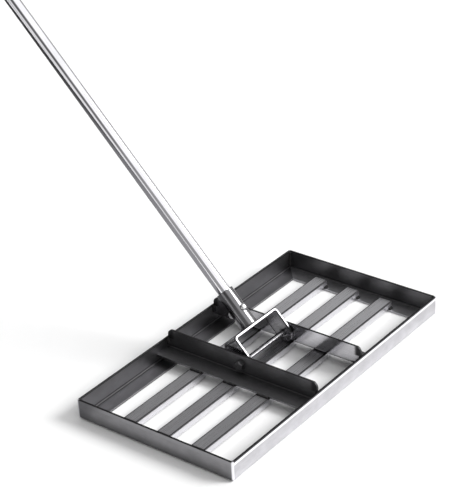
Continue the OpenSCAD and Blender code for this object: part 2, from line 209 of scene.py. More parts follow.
# %% [markdown]
# ## Floor and light
# The photograph is a product shot on white. Steel is half a mirror, so what stands around it matters as
# much as the lamps: a bright floor, a key light and a window from the front, the far end and above, and
# a room that is dim elsewhere, with a dark corner, a dark patch of ceiling and a lit wall at the near
# end. A sun lamp with a wide disc lights a floor evenly, where an area lamp would let it fall off to grey.

# %% Floor
FLOOR_SIZE = 60.0
PAPER_GRAIN = 40 * MM
FLOOR_DARK = (0.93, 0.93, 0.93)
FLOOR_LIGHT = (0.95, 0.95, 0.95)
FLOOR_ROUGH = 0.9


def deselect():
    """Leaves edit mode and selects nothing."""
    if bpy.context.mode != "OBJECT":
        bpy.ops.object.mode_set(mode="OBJECT")
    bpy.ops.object.select_all(action="DESELECT")


deselect()
bpy.ops.mesh.primitive_plane_add(size=FLOOR_SIZE)
floor = bpy.context.object
floor.name = "floor"
white_floor = Finish("white_floor")
floor_tone = white_floor.colour(white_floor.noise(PAPER_GRAIN), FLOOR_DARK, FLOOR_LIGHT)
floor.data.materials.append(white_floor.done(floor_tone, FLOOR_ROUGH, metallic=0.0))
print("floor", FLOOR_SIZE, "m square")

# %% Key light
KEY_FROM = Vector((-0.47, 0.66, 0.585)).normalized()
KEY_STRENGTH = 2.65
KEY_ANGLE = math.radians(26)

key = bpy.data.lights.new("key", "SUN")
key.energy = KEY_STRENGTH
key.angle = KEY_ANGLE
key_lamp = bpy.data.objects.new("key", key)
bpy.context.scene.collection.objects.link(key_lamp)
key_lamp.matrix_world = KEY_FROM.to_track_quat("Z", "Y").to_matrix().to_4x4()
print("key light from", [round(v, 2) for v in KEY_FROM])

# %% Room
WINDOW = Vector((-0.29, 0.71, 0.64)).normalized()
DARK_CORNER = Vector((0.75, -0.6, 0.3)).normalized()
DARK_CEILING = Vector((0.78, 0.18, 0.6)).normalized()
NEAR_WALL = Vector((0.98, -0.155, 0.14)).normalized()

room = bpy.data.worlds.new("room")
room.use_nodes = True
air = room.node_tree
air.nodes.clear()
direction = add_node(air, "ShaderNodeTexCoord", {}, {}).outputs["Generated"]


def towards(aim, edge, core, start, end):
    """From start to end as the view turns from edge to core, both in degrees from the aim."""
    facing = add_node(air, "ShaderNodeVectorMath", {"operation": "DOT_PRODUCT"}, {0: direction, 1: aim})
    low = math.cos(math.radians(edge))
    high = math.cos(math.radians(core))
    return ramp(air, facing.outputs["Value"], low, high, start, end)


height = add_node(air, "ShaderNodeSeparateXYZ", {}, {0: direction}).outputs["Z"]
sky = ramp(air, height, low=0.2, high=1.0, start=0.34, end=0.44)
corner_dim = towards(DARK_CORNER, edge=55, core=15, start=1.0, end=0.2)
ceiling_dim = towards(DARK_CEILING, edge=17, core=6, start=1.0, end=0.35)
window_glow = towards(WINDOW, edge=58, core=48, start=0.0, end=0.75)
wall_glow = towards(NEAR_WALL, edge=22, core=4, start=0.0, end=0.8)
dimmed = arithmetic(air, "MULTIPLY", arithmetic(air, "MULTIPLY", sky, corner_dim), ceiling_dim)
lit = arithmetic(air, "ADD", arithmetic(air, "ADD", dimmed, window_glow), wall_glow)
glow = add_node(air, "ShaderNodeBackground", {}, {"Color": (1, 1, 1, 1), "Strength": lit})
add_node(air, "ShaderNodeOutputWorld", {}, {"Surface": glow.outputs[0]})
bpy.context.scene.world = room
bpy.context.scene.view_settings.view_transform = "Standard"
print("room is set with", len(air.nodes), "nodes")

# %% [markdown]
# ## The grey card
# A photographer lays a grey card beside a shiny tube, just outside the picture, to give it a dark side.
# This card does that for the handle. It is paler towards the head, where light spills on it. A darker
# room would dull the whole head. Only reflections see the card, so the floor stays white.

# %% Grey card
CARD_FROM = Vector((-0.25, -1.9))
CARD_TO = Vector((6.0, -0.12))
CARD_LIFT = 0.5 * MM
CARD_TINT = (0.98, 0.98, 1, 1)
CARD_FADE_FROM = -1.1
CARD_FADE_TO = -0.15
CARD_DARK = 0.05
CARD_PALE = 0.34

deselect()
bpy.ops.mesh.primitive_plane_add(size=1)
card = bpy.context.object
card.name = "grey_card"
bpy.ops.transform.resize(value=(*(CARD_TO - CARD_FROM), 1))
bpy.ops.transform.translate(value=(*(CARD_TO + CARD_FROM) / 2, CARD_LIFT))
bpy.ops.object.transform_apply(location=True, rotation=True, scale=True)
grey = bpy.data.materials.new("grey_card")
grey.use_nodes = True
felt = grey.node_tree
felt.nodes.clear()
card_place = add_node(felt, "ShaderNodeTexCoord", {}, {}).outputs["Object"]
card_y = add_node(felt, "ShaderNodeSeparateXYZ", {}, {0: card_place}).outputs["Y"]
card_tone = ramp(felt, card_y, CARD_FADE_FROM, CARD_FADE_TO, CARD_DARK, CARD_PALE)
sheen = add_node(felt, "ShaderNodeEmission", {}, {"Color": CARD_TINT, "Strength": card_tone})
add_node(felt, "ShaderNodeOutputMaterial", {}, {"Surface": sheen.outputs[0]})
card.data.materials.append(grey)
card.visible_camera = False
card.visible_diffuse = False
card.visible_shadow = False
print("grey card is laid")

# %% [markdown]
# ## The rails
# Four lengths of angle bar, mitred and welded, make the frame. Their outer faces were brushed after welding.
# Their finish holds painted light: the bright corners and the bright band under the long rails' upper edges
# are painted highlights, and the black line along the top edges is a painted dark reflection. The inside is
# painted dark as shade, the roots of the bends get painted shade, and the end rails' outer faces are painted
# darker than the long rails', darkest at the foot. The bars' shape is right as it was built, so they only
# need a finish. It could be painted on by hand; here each mark is a band of Object coordinates, which fits
# all four rails.

# %% Sizes of the head
RAIL_T = 3 * MM
ROOT_R = 2.5 * MM
head_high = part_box("right_end_rail")[1]
HEAD_X = head_high.x
HEAD_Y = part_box("front_rail")[1].y
RAIL_H = head_high.z
print("head", round(2 * HEAD_X / MM), "x", round(2 * HEAD_Y / MM), "x", round(RAIL_H / MM), "mm")

# %% Rail steel
ARRIS = 0.7 * MM
# Painted light: a highlight band under the top edge, a dark reflection along the top, a highlight at the
# corners, and shade at the roots of the bends.
HIGHLIGHT_BAND = 6 * MM
DARK_TOP_LINE = 2.2 * MM
CORNER_HIGHLIGHT = 3.2 * MM
DARK_TOP_TONE = 0.04
CORNER_HIGHLIGHT_TONE = 0.92
ROOT_SHADE = 0.45
ROOT_FADE_R = 1.4 * ROOT_R
STEEL_DARK = (0.0, 0.0, 0.0)
STEEL_LIGHT = (0.972, 0.962, 1.0)


def steel(finish, tone):
    """The colour of bare steel, from black at a tone of 0 to bright at 1."""
    return finish.colour(tone, STEEL_DARK, STEEL_LIGHT)


def rail_steel(name, along, outer, foot, wall, flange, ground):
    """Angle bar along X (0) or Y (1): tones of its outer face and that face's foot, of the wall and the
    flange inside, and of the highlight band under the dark top line. All of these tones are painted light and
    shade."""
    finish = Finish(name)
    places = finish.axes()
    reach = finish.sum("ABSOLUTE", places[1 - along])
    run = finish.sum("ABSOLUTE", places[along])
    up = places[2]
    face = (HEAD_Y, HEAD_X)[along]
    end = (HEAD_X, HEAD_Y)[along]
    brushed = finish.noise(0.8 * MM, stretch=((8, 1, 1), (1, 8, 1))[along], detail=4.0)
    blotch = finish.noise(14 * MM, stretch=(1.5, 1.5, 1), detail=4.0)
    outside = finish.ramp(reach, face - 0.95 * RAIL_T, face - 0.85 * RAIL_T)
    # Painted highlight on the outer corners.
    corner = finish.ramp(run, end - CORNER_HIGHLIGHT, end - CORNER_HIGHLIGHT / 2)
    corner = finish.sum("MULTIPLY", outside, corner)
    # Painted dark reflection along the top edge.
    dark_line_w = (DARK_TOP_LINE, ARRIS)[along]
    top = finish.ramp(up, RAIL_H - dark_line_w, RAIL_H - 0.6 * dark_line_w)
    # Painted highlight: a bright band under the top edge of the outer face.
    band = finish.ramp(up, RAIL_H - HIGHLIGHT_BAND, RAIL_H - HIGHLIGHT_BAND + ARRIS)
    band = finish.sum("MULTIPLY", outside, band)
    worn = finish.ramp(blotch, *NOISE_MID, start=0.92, end=1.06)
    worn = finish.sum("MULTIPLY", worn, finish.ramp(brushed, *NOISE_WIDE, start=0.93, end=1.07))
    # Painted shade: the inside gets darker tones, and the roots of the bends are darker still.
    inside = finish.ramp(up, RAIL_T + 0.1 * ARRIS, RAIL_T + ARRIS, flange, wall)
    root = finish.ramp(reach, face - RAIL_T - ROOT_FADE_R, face - RAIL_T - ROOT_R)
    root = finish.sum("MULTIPLY", root, finish.ramp(up, RAIL_T + ROOT_R, RAIL_T + ROOT_FADE_R, 1.0, 0.0))
    inside = finish.mix(inside, finish.sum("MULTIPLY", inside, ROOT_SHADE), root)
    # Painted shade and light on the outer face: it runs from the foot's tone up to the face's own tone.
    tone = finish.mix(inside, finish.ramp(up, 0.1 * RAIL_H, 0.6 * RAIL_H, foot, outer), outside)
    tone = finish.sum("MULTIPLY", tone, worn)
    tone = finish.mix(tone, ground, band)
    tone = finish.mix(tone, DARK_TOP_TONE, top)
    tone = finish.mix(tone, CORNER_HIGHLIGHT_TONE, corner)
    rough = finish.ramp(brushed, *NOISE_WIDE, start=0.35, end=0.47)
    rough = finish.sum("ADD", rough, finish.sum("MULTIPLY", root, 0.2))
    relief = finish.sum("ADD", brushed, finish.sum("MULTIPLY", blotch, 2.0))
    return finish.done(steel(finish, tone), rough, relief, depth=0.01 * MM)


def dress(node, material):
    """Gives a CAD node one finish all over."""
    slots = nodes[node].data.materials
    slots.clear()
    slots.append(material)


# The tones differ by how the light falls on each rail. This is painted light and shade: the end rails are
# darker outside and darkest at the foot.
front_steel = rail_steel("front_rail_steel", 0, outer=0.56, foot=0.6, wall=0.17, flange=0.16, ground=0.96)
rear_steel = rail_steel("rear_rail_steel", 0, outer=0.5, foot=0.5, wall=0.17, flange=0.16, ground=0.9)
right_steel = rail_steel("right_rail_steel", 1, outer=0.28, foot=0.17, wall=0.17, flange=0.4, ground=0.3)
left_steel = rail_steel("left_rail_steel", 1, outer=0.28, foot=0.17, wall=0.17, flange=0.4, ground=0.3)
dress("front_rail", front_steel)
dress("rear_rail", rear_steel)
dress("right_end_rail", right_steel)
dress("left_end_rail", left_steel)
print("four rails dressed")

# %% [markdown]
# ## The slats
# Three flat tubes, drawn smooth, run along the head's floor. Their sides are painted light, each rounded
# upper edge has a painted dark reflection, and their tops are painted lighter towards the far end. All three
# could have a finish of their own. One serves here, because it measures across from the middle line of the
# nearest slat.

# %% Slat steel
SLATS = ("rear_slat", "middle_slat", "front_slat")
SLAT_R = 1.5 * MM
# Painted light on the slats' sides, and a painted dark reflection on their rounded upper edges.
SLAT_SIDE_LIGHT = 0.74
SLAT_EDGE_REFLECTION = 0.05

slat_low, slat_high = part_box("middle_slat")
SLAT_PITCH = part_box("front_slat")[1].y - slat_high.y


def slat_steel():
    """Drawn flat tube with painted light: tops lighter towards the far end, lit sides, and a painted dark
    reflection on the rounded upper edges.
    """
    finish = Finish("slat_steel")
    along, across, up = finish.axes()
    nearest = finish.sum("ROUND", finish.sum("DIVIDE", across, SLAT_PITCH))
    nearest = finish.sum("MULTIPLY", nearest, SLAT_PITCH)
    out = finish.sum("ABSOLUTE", finish.sum("SUBTRACT", across, nearest))
    drawn = finish.noise(0.9 * MM, stretch=(60, 1, 1), detail=1.0)
    cloud = finish.noise(30 * MM, stretch=(2, 1, 1))
    # Painted light: the tops are lighter towards the far end.
    far_end_light = finish.ramp(along, slat_low.x, slat_high.x, 0.78, 0.5)
    worn = finish.ramp(finish.sum("ADD", drawn, cloud), *TWO_NOISES, start=0.95, end=1.05)
    tone = finish.sum("MULTIPLY", far_end_light, worn)
    # Painted light on the sides.
    side = finish.ramp(out, slat_high.y - 0.3 * MM, slat_high.y - 0.1 * MM)
    tone = finish.mix(tone, SLAT_SIDE_LIGHT, side)
    # Painted dark reflection along the rounded upper edges.
    edge = finish.ramp(out, slat_high.y - 1.6 * SLAT_R, slat_high.y - 1.2 * SLAT_R)
    edge = finish.sum("MULTIPLY", edge, finish.ramp(up, slat_high.z - SLAT_R, slat_high.z - 0.7 * SLAT_R))
    tone = finish.mix(tone, SLAT_EDGE_REFLECTION, edge)
    rough = finish.mix(finish.ramp(drawn, *NOISE_WIDE, start=0.26, end=0.34), 0.5, edge)
    return finish.done(steel(finish, tone), rough, drawn, depth=0.002 * MM)


drawn_slat = slat_steel()
for slat in SLATS:
    dress(slat, drawn_slat)
print("three slats dressed,", round(SLAT_PITCH / MM, 2), "mm apart")

# %% [markdown]
# ## The cross bars
# Two lengths of darker angle bar lie across the slats and carry the pivot. The left one shows the smooth
# inner face of its leg and mirrors the gaps, and the right one shows its scaled outer face. The scale is
# rougher, and painted darker as shade. Near the long rails the bars' upper parts are darker, and so is their
# upper edge. Again the bars' shape is right, and bands of coordinates mark the faces, so one function
# finishes both.

# %% Bar steel
# The darker ends near the long rails and the dark upper edge share one tone.
DARK_END = 12 * MM
BAR_ROOT_SHADE = 0.5
BAR_DARK_TONE = 0.06
SCALE_ROUGH = 0.45

bar_low, bar_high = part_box("right_cross_bar")


def bar_steel(name, smooth, scale):
    """Rolled angle bar: a smooth face towards the middle, a dark upper edge, and rough scale elsewhere,
    painted darker as shade.
    """
    finish = Finish(name)
    places = finish.axes()
    off_middle = finish.sum("ABSOLUTE", places[0])
    along = finish.sum("ABSOLUTE", places[1])
    up = places[2]
    rolled = finish.noise(0.9 * MM, stretch=(1, 10, 1), detail=4.0)
    cloud = finish.noise(22 * MM, stretch=(1.4, 1.4, 1))
    # Painted shade: the scaled outer face and flange are painted darker, and they are rougher.
    scaled_and_shaded = finish.ramp(off_middle, bar_low.x + 0.4 * MM, bar_low.x + 0.9 * MM)
    edge = finish.ramp(up, bar_high.z - ARRIS, bar_high.z - ARRIS / 2)
    worn = finish.ramp(finish.sum("ADD", rolled, cloud), *TWO_NOISES, start=0.88, end=1.12)
    tone = finish.sum("MULTIPLY", finish.mix(smooth, scale, scaled_and_shaded), worn)
    foot = bar_low.z + RAIL_T
    leg = bar_low.x + RAIL_T
    root = finish.ramp(off_middle, leg + ROOT_R, leg + ROOT_FADE_R, 1.0, 0.0)
    root = finish.sum("MULTIPLY", root, finish.ramp(up, foot + ROOT_R, foot + ROOT_FADE_R, 1.0, 0.0))
    root = finish.sum("MULTIPLY", root, scaled_and_shaded)
    tone = finish.mix(tone, finish.sum("MULTIPLY", tone, BAR_ROOT_SHADE), root)
    # Darker near the long rails, above the rails' height.
    dark_end = finish.ramp(along, bar_high.y - DARK_END, bar_high.y - 0.5 * DARK_END)
    dark_end = finish.sum("MULTIPLY", dark_end, finish.ramp(up, RAIL_H - ROOT_R, RAIL_H))
    tone = finish.mix(tone, BAR_DARK_TONE, finish.sum("MAXIMUM", edge, dark_end))
    rough = finish.ramp(rolled, *NOISE_WIDE, start=0.12, end=0.2)
    rough = finish.mix(rough, SCALE_ROUGH, finish.sum("MAXIMUM", scaled_and_shaded, dark_end))
    return finish.done(steel(finish, tone), rough, rolled, depth=0.008 * MM)


dress("right_cross_bar", bar_steel("right_bar_steel", smooth=0.4, scale=0.17))
dress("left_cross_bar", bar_steel("left_bar_steel", smooth=0.5, scale=0.17))
print("two cross bars dressed")

# %% [markdown]
# ## The modeller's tools
# The other pieces are modelled anew and stand in for plain ones. An operator acts on all that is selected,
# so the first tools select one piece, or some of its edges, and nothing else. The next ones apply
# modifiers, cut, and round the edges. Each piece is modelled at the origin, along Z, then turned into
# place and applied, so that its place is kept in its mesh.

# %% Select and edit
DOUBLE = 0.001 * MM


def activate(piece):
    """Makes a piece the only one that operators act on."""
    deselect()
    piece.select_set(True)
    bpy.context.view_layer.objects.active = piece


def edit(piece, kind="VERT"):
    """Enters edit mode on a piece, to work on its vertices, edges or faces."""
    activate(piece)
    bpy.context.tool_settings.mesh_select_mode = [kind == k for k in ("VERT", "EDGE", "FACE")]
    bpy.ops.object.mode_set(mode="EDIT")


def pick_edges(piece, wanted):
    """Enters edit mode with only those edges selected whose two ends pass a test."""
    edit(piece, "EDGE")
    bpy.ops.mesh.select_all(action="DESELECT")
    deselect()
    points = piece.data.vertices
    for edge in piece.data.edges:
        edge.select = wanted(*(points[i].co for i in edge.vertices))
    edit(piece, "EDGE")


def close_up(piece):
    """Merges doubled points, caps open ends and turns the faces outwards."""
    edit(piece)
    bpy.ops.mesh.select_all(action="SELECT")
    bpy.ops.mesh.remove_doubles(threshold=DOUBLE)
    bpy.ops.mesh.fill_holes(sides=0)
    bpy.ops.mesh.select_all(action="SELECT")
    bpy.ops.mesh.normals_make_consistent(inside=False)
    deselect()


print("selecting tools are ready")

# %% Cut, soften and place
SLIVER = 0.005 * MM


def modify(piece, kind, **settings):
    """Adds a modifier and applies it."""
    activate(piece)
    modifier = piece.modifiers.new(kind.lower(), kind)
    for name, value in settings.items():
        setattr(modifier, name, value)
    bpy.ops.object.modifier_apply(modifier=modifier.name)


def carve(piece, tool, operation="DIFFERENCE"):
    """Cuts a piece with another, or joins or intersects them, and drops the tool."""
    modify(piece, "BOOLEAN", operation=operation, solver="EXACT", object=tool)
    bpy.data.objects.remove(tool)


def clear_slivers(piece):
    """Dissolves the tiny edges and faces that cutting leaves."""
    edit(piece)
    bpy.ops.mesh.select_all(action="SELECT")
    bpy.ops.mesh.dissolve_degenerate(threshold=SLIVER)
    deselect()


def soften(piece, width, segments=2, angle=35):
    """Rounds the edges that are sharper than an angle."""
    clear_slivers(piece)
    modify(piece, "BEVEL", width=width, segments=segments, limit_method="ANGLE",
           angle_limit=math.radians(angle), use_clamp_overlap=True)


def put(piece, place):
    """Turns and moves a piece, and keeps its place in its mesh."""
    activate(piece)
    piece.matrix_world = place
    bpy.ops.object.transform_apply(location=True, rotation=True, scale=True)


print("cutting and placing tools are ready")

# %% Stand in for a node
def stand_in(piece, body, slot, material, *replaced, smooth=40):
    """Clears a finished piece of slivers, shades and dresses it, lets it ride on a body and hides the
    nodes that it stands for."""
    clear_slivers(piece)
    activate(piece)
    bpy.ops.object.shade_smooth_by_angle(angle=math.radians(smooth))
    if not piece.data.materials:
        piece.data.materials.append(material)
    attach(piece, body)
    if replaced:
        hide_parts(*replaced)
    print(piece.name, len(piece.data.polygons), "faces")


print("pieces can stand in for nodes")

# %% [markdown]
# ## The handle's own axes
# The handle leans back, so its pieces are modelled upright and then set on the lean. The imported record
# gives the pivot and the handle's direction, and the tube shows how far the handle has slid along the
# bolt. Each node can be measured along these axes, which gives the pieces their sizes.

# %% Handle axes
record = frame["record"]
pivot = Vector(record["behaviour"]["joints"][0]["pos_m"])
handle_up = next(Vector(m["axis"]) for m in record["mounts"] if m["name"] == "handle_clip").normalized()
bolt_axis = Vector((1, 0, 0))
handle_top = handle_up.cross(bolt_axis)
tube_low, tube_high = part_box("lower_tube")
handle_foot = pivot + (tube_low.x + tube_high.x) / 2 * bolt_axis
along_bolt = columns((0, 1, 0), (0, 0, 1), (1, 0, 0))
on_handle = Matrix.Translation(handle_foot) @ columns(bolt_axis, handle_top, handle_up)
on_pivot = Matrix.Translation(pivot) @ along_bolt
to_upper_side = columns((0, 0, 1), (1, 0, 0), (0, 1, 0))
to_lower_side = columns((0, 0, -1), (1, 0, 0), (0, -1, 0))


def measured(node, place):
    """A node's lowest and highest corners along the axes of a place."""
    back = place.inverted()
    points = [back @ vertex.co for vertex in nodes[node].data.vertices]
    low = Vector([min(p[i] for p in points) for i in range(3)])
    high = Vector([max(p[i] for p in points) for i in range(3)])
    return low, high


strap_low, strap_high = measured("stirrup", on_handle)
socket_low, socket_high = measured("handle_socket", on_handle)
print("stirrup reaches", round(strap_high.z / MM, 1), "mm, socket to", round(socket_high.z / MM, 1), "mm")

# %% [markdown]
# ## The stirrup
# A flat strap is bent twice to a U, and the pivot bolt goes through the ends of its legs. It could be cut
# from a block. Here it is made as it is in the workshop: the strap's section is extruded up a leg, spun
# round each bend and extruded on, then the ends are rounded, drilled and the edges ground.

# %% Bend the strap
STRAP_T = 4 * MM
BEND_R = 2 * MM
BEND_STEPS = 8


def strap_section(width, thick, side, foot):
    """A face of the strap's section, flat on the ground at the foot of a leg."""
    deselect()
    bpy.ops.mesh.primitive_plane_add(size=1, location=(side - thick / 2, 0, foot))
    piece = bpy.context.object
    piece.scale = (thick, width, 1)
    bpy.ops.object.transform_apply(location=True, rotation=True, scale=True)
    return piece


def bend_strap(piece, thick, half, foot, reach):
    """Extrudes the section up one leg, round two bends and down the other leg."""
    outer_r = BEND_R + thick
    bend_x = half - outer_r
    bend_z = reach - outer_r
    edit(piece, "FACE")
    bpy.ops.mesh.select_all(action="SELECT")
    bpy.ops.mesh.extrude_region_move(TRANSFORM_OT_translate={"value": (0, 0, bend_z - foot)})
    quarter = {"steps": BEND_STEPS, "angle": math.radians(90), "axis": (0, 1, 0)}
    bpy.ops.mesh.spin(center=(bend_x, 0, bend_z), **quarter)
    bpy.ops.mesh.extrude_region_move(TRANSFORM_OT_translate={"value": (-2 * bend_x, 0, 0)})
    bpy.ops.mesh.spin(center=(-bend_x, 0, bend_z), **quarter)
    bpy.ops.mesh.extrude_region_move(TRANSFORM_OT_translate={"value": (0, 0, foot - bend_z)})
    deselect()


strap_width = strap_high.y - strap_low.y
stirrup = strap_section(strap_width, STRAP_T, strap_high.x, strap_low.z)
stirrup.name = "bent_stirrup"
bend_strap(stirrup, STRAP_T, strap_high.x, strap_low.z, strap_high.z)
close_up(stirrup)
print("strap", round(strap_width / MM, 1), "mm wide is bent")

# %% Round, drill and grind the stirrup
SAME = 0.01 * MM
NEARLY = 0.998
ROUND_STEPS = 18
GROUND_EDGE = 0.9 * MM
PIVOT_HOLE_R = 4.05 * MM
DRILL_REACH = 200 * MM
DRILL_SIDES = 48


def round_legs(piece, foot, half_width):
    """Rounds the ends of both legs with a wide bevel."""
    def across_foot(a, b):
        return max(abs(a.z - foot), abs(b.z - foot), abs(a.y - b.y)) < SAME
    pick_edges(piece, across_foot)
    bpy.ops.mesh.bevel(offset=NEARLY * half_width, segments=ROUND_STEPS, affect="EDGES")
    deselect()


def drill(piece, radius, place, length=DRILL_REACH):
    """Bores a round hole along a place's Z axis."""
    deselect()
    bpy.ops.mesh.primitive_cylinder_add(vertices=DRILL_SIDES, radius=radius, depth=length)
    bit = bpy.context.object
    put(bit, place)
    carve(piece, bit)


round_legs(stirrup, strap_low.z, strap_width / 2)
drill(stirrup, PIVOT_HOLE_R, along_bolt)
soften(stirrup, GROUND_EDGE, 3)
put(stirrup, on_handle)
print("stirrup has", len(stirrup.data.polygons), "faces")

# %% [markdown]
# ### The strap's finish
# The faces of the strap are grey and rolled. Its ground edges are the brightest lines, a painted highlight,
# with a painted dark rim of shade beside them. The edges could get a material of their own. Here a Mapping
# node turns the coordinates upright with the handle, so that the distance across the strap marks rim and
# edge.

# %% Strap steel
# Painted shade on the rim beside each edge, and a painted highlight on the ground edges.
RIM_SHADE_TONE = 0.03
RIM_ROUGH = 0.5
EDGE_HIGHLIGHT_TONE = 0.6

lean_back = on_handle.to_3x3().inverted()
LEAN_TURN = lean_back.to_euler()


def strap_steel():
    """Rolled strap: grey faces with lines along it, painted shade beside the edges, and a painted highlight
    on the ground edges.
    """
    finish = Finish("strap_steel")
    upright = {"Vector": finish.place, "Rotation": LEAN_TURN, "Location": -(lean_back @ handle_foot)}
    turned = add_node(finish.tree, "ShaderNodeMapping", {}, upright).outputs[0]
    places = finish.axes(turned)
    width = finish.sum("ABSOLUTE", places[1])
    half = strap_width / 2
    # Painted shade: a dark rim beside each edge. Painted highlight: the ground edge itself.
    rim = finish.ramp(width, half - 2.4 * GROUND_EDGE, half - 1.5 * GROUND_EDGE)
    edge = finish.ramp(width, half - 0.08 * GROUND_EDGE, half - 0.02 * GROUND_EDGE)
    edge = finish.sum("MULTIPLY", edge, finish.ramp(places[2], 1 * MM, 5 * MM))
    rolled = finish.noise(1.2 * MM, stretch=(1, 5, 1), detail=4.0, place=turned)
    cloud = finish.noise(9 * MM, place=turned)
    tone = finish.ramp(finish.sum("ADD", rolled, cloud), *TWO_NOISES, start=0.28, end=0.36)
    tone = finish.mix(tone, RIM_SHADE_TONE, rim)
    tone = finish.mix(tone, EDGE_HIGHLIGHT_TONE, edge)
    rough = finish.mix(finish.ramp(rolled, *NOISE_WIDE, start=0.2, end=0.3), RIM_ROUGH, rim)
    return finish.done(steel(finish, tone), rough, rolled, depth=0.006 * MM)


stand_in(stirrup, "handle", "strap_steel", strap_steel(), "stirrup")

# %% [markdown]
# ## The lathe
# Most of the other pieces are round, so the next tool is a lathe. A screw modifier could turn a profile
# too. Here a ring of points is extruded and resized from one point of a profile to the next, which shows
# every step and can close a ring on itself. Two helpers draw the round stretches of profiles.

# %% Lathe
LATHE_SIDES = 64


def turn_on_lathe(name, profile, sides=LATHE_SIDES):
    """A round piece about Z from (radius, height) points. A profile that ends where it began is a ring."""
    deselect()
    radius, level = profile[0]
    bpy.ops.mesh.primitive_circle_add(vertices=sides, radius=radius, location=(0, 0, level))
    piece = bpy.context.object
    piece.name = name
    bpy.ops.object.transform_apply(location=True, rotation=True, scale=True)
    edit(piece)
    bpy.ops.mesh.select_all(action="SELECT")
    for next_radius, next_level in profile[1:]:
        bpy.ops.mesh.extrude_region_move(TRANSFORM_OT_translate={"value": (0, 0, next_level - level)})
        grow = next_radius / radius
        bpy.ops.transform.resize(value=(grow, grow, 1), center_override=(0, 0, next_level))
        radius, level = next_radius, next_level
    deselect()
    close_up(piece)
    return piece


def arc(middle, size, start, end, steps=5):
    """Points of a round stretch of a profile, between two angles in degrees."""
    angles = [math.radians(start + (end - start) * i / steps) for i in range(steps + 1)]
    return [(middle[0] + size * math.cos(a), middle[1] + size * math.sin(a)) for a in angles]


def sleeve_profile(bore, radius, low, high, lip):
    """Section of a hollow round piece with round lips, closed on itself."""
    points = [(bore, high - lip / 2), (bore, low + lip / 2), (bore + lip / 2, low)]
    points += arc((radius - lip, low + lip), lip, -90, 0)
    points += arc((radius - lip, high - lip), lip, 0, 90)
    points += [(bore + lip / 2, high), points[0]]
    return points


print("lathe is ready")

# %% [markdown]
# ## Tubes of the handle
# The socket on the stirrup and the three sections of the handle are polished tube. A tube could be a
# cylinder with a solidify modifier. The lathe gives the wall and the rounded rims in one go. The socket
# is darker than the tubes, as it was welded and only brushed.

# %% Polished steel
def polished_steel(name, tone_low, tone_high, rough):
    """Polished tube: fine lines of grain along it, and faint clouds."""
    finish = Finish(name)
    upright = {"Vector": finish.place, "Rotation": LEAN_TURN}
    turned = add_node(finish.tree, "ShaderNodeMapping", {}, upright).outputs[0]
    lines = finish.noise(0.7 * MM, stretch=(1, 1, 30), place=turned)
    cloud = finish.noise(30 * MM, stretch=(1, 1, 2), place=turned)
    tone = finish.ramp(finish.sum("ADD", lines, cloud), *TWO_NOISES, start=tone_low, end=tone_high)
    rough_map = finish.ramp(cloud, *NOISE_MID, start=rough - 0.03, end=rough + 0.04)
    return finish.done(steel(finish, tone), rough_map, lines, depth=0.004 * MM)


tube_steel = polished_steel("tube_steel", 0.8, 0.9, rough=0.1)
socket_steel = polished_steel("socket_steel", 0.19, 0.25, rough=0.16)
print("tube and socket steel are mixed")

# %% Socket and tubes
TUBE_WALL = 0.7 * MM
TUBE_LIP = 0.25 * MM
SOCKET_BORE_R = 9.65 * MM
SOCKET_LIP = 0.8 * MM
FINE_SIDES = 96

for node in ("lower_tube", "middle_tube", "upper_tube"):
    low, high = measured(node, on_handle)
    profile = sleeve_profile(high.x - TUBE_WALL, high.x, low.z, high.z, TUBE_LIP)
    tube = turn_on_lathe("polished_" + node, profile, FINE_SIDES)
    put(tube, on_handle)
    stand_in(tube, "handle", "tube_steel", tube_steel, node)

socket_r = socket_high.x
profile = sleeve_profile(SOCKET_BORE_R, socket_r, socket_low.z, socket_high.z, SOCKET_LIP)
socket = turn_on_lathe("turned_socket", profile, FINE_SIDES)
put(socket, on_handle)
stand_in(socket, "handle", "strap_steel", socket_steel, "handle_socket")
dress("joint_spigots", tube_steel)

# %% [markdown]
# ## Metals of the bolts
# The handle's bolts are zinc plated, bright and a little cloudy. The lock nuts hold rings of nylon. The
# pivot's pieces are plain steel, painted dark as shade, but for the brighter shank inside the stirrup. That
# could be two materials on one bolt. A band along the bolt does it in one, and it needs no seam in the mesh.

# %% Zinc, nylon and pivot steel in painted shade
# Roughness of the pivot's parts that are painted dark as shade.
PIVOT_SHADE_ROUGH = 0.55


def zinc():
    """Bright zinc plate: pale, a little cloudy, with a faint warm and cool play."""
    finish = Finish("fastener_zinc")
    cloud = finish.noise(3 * MM, detail=4.0)
    speck = finish.noise(0.5 * MM, detail=2.0)
    colour = finish.colour(cloud, (0.66, 0.67, 0.72), (0.86, 0.85, 0.82))
    rough = finish.ramp(cloud, *NOISE_MID, start=0.16, end=0.3)
    return finish.done(colour, rough, speck, depth=0.01 * MM)


def nylon():
    """Matt nylon ring of a lock nut."""
    finish = Finish("nut_nylon")
    cloud = finish.noise(1.5 * MM)
    colour = finish.colour(cloud, (0.62, 0.62, 0.58), (0.75, 0.75, 0.72))
    return finish.done(colour, finish.ramp(cloud, *NOISE_MID, start=0.45, end=0.6), metallic=0.0)


def shaded_pivot_steel():
    """The pivot's steel: brighter where the shank shows in the stirrup, painted dark as shade outside it."""
    finish = Finish("pivot_steel")
    cloud = finish.noise(4 * MM, detail=4.0)
    # Painted shade: dark outside the stirrup, brighter on the shank inside it.
    off_middle = finish.sum("ABSOLUTE", finish.sum("SUBTRACT", finish.axes()[0], handle_foot.x))
    outside = finish.ramp(off_middle, strap_high.x - STRAP_T, strap_high.x)
    bright = finish.ramp(cloud, *NOISE_MID, start=0.26, end=0.32)
    dark = finish.ramp(cloud, *NOISE_MID, start=0.08, end=0.13)
    tone = finish.mix(bright, dark, outside)
    rough = finish.mix(finish.ramp(cloud, *NOISE_MID, start=0.16, end=0.22), PIVOT_SHADE_ROUGH, outside)
    return finish.done(steel(finish, tone), rough)


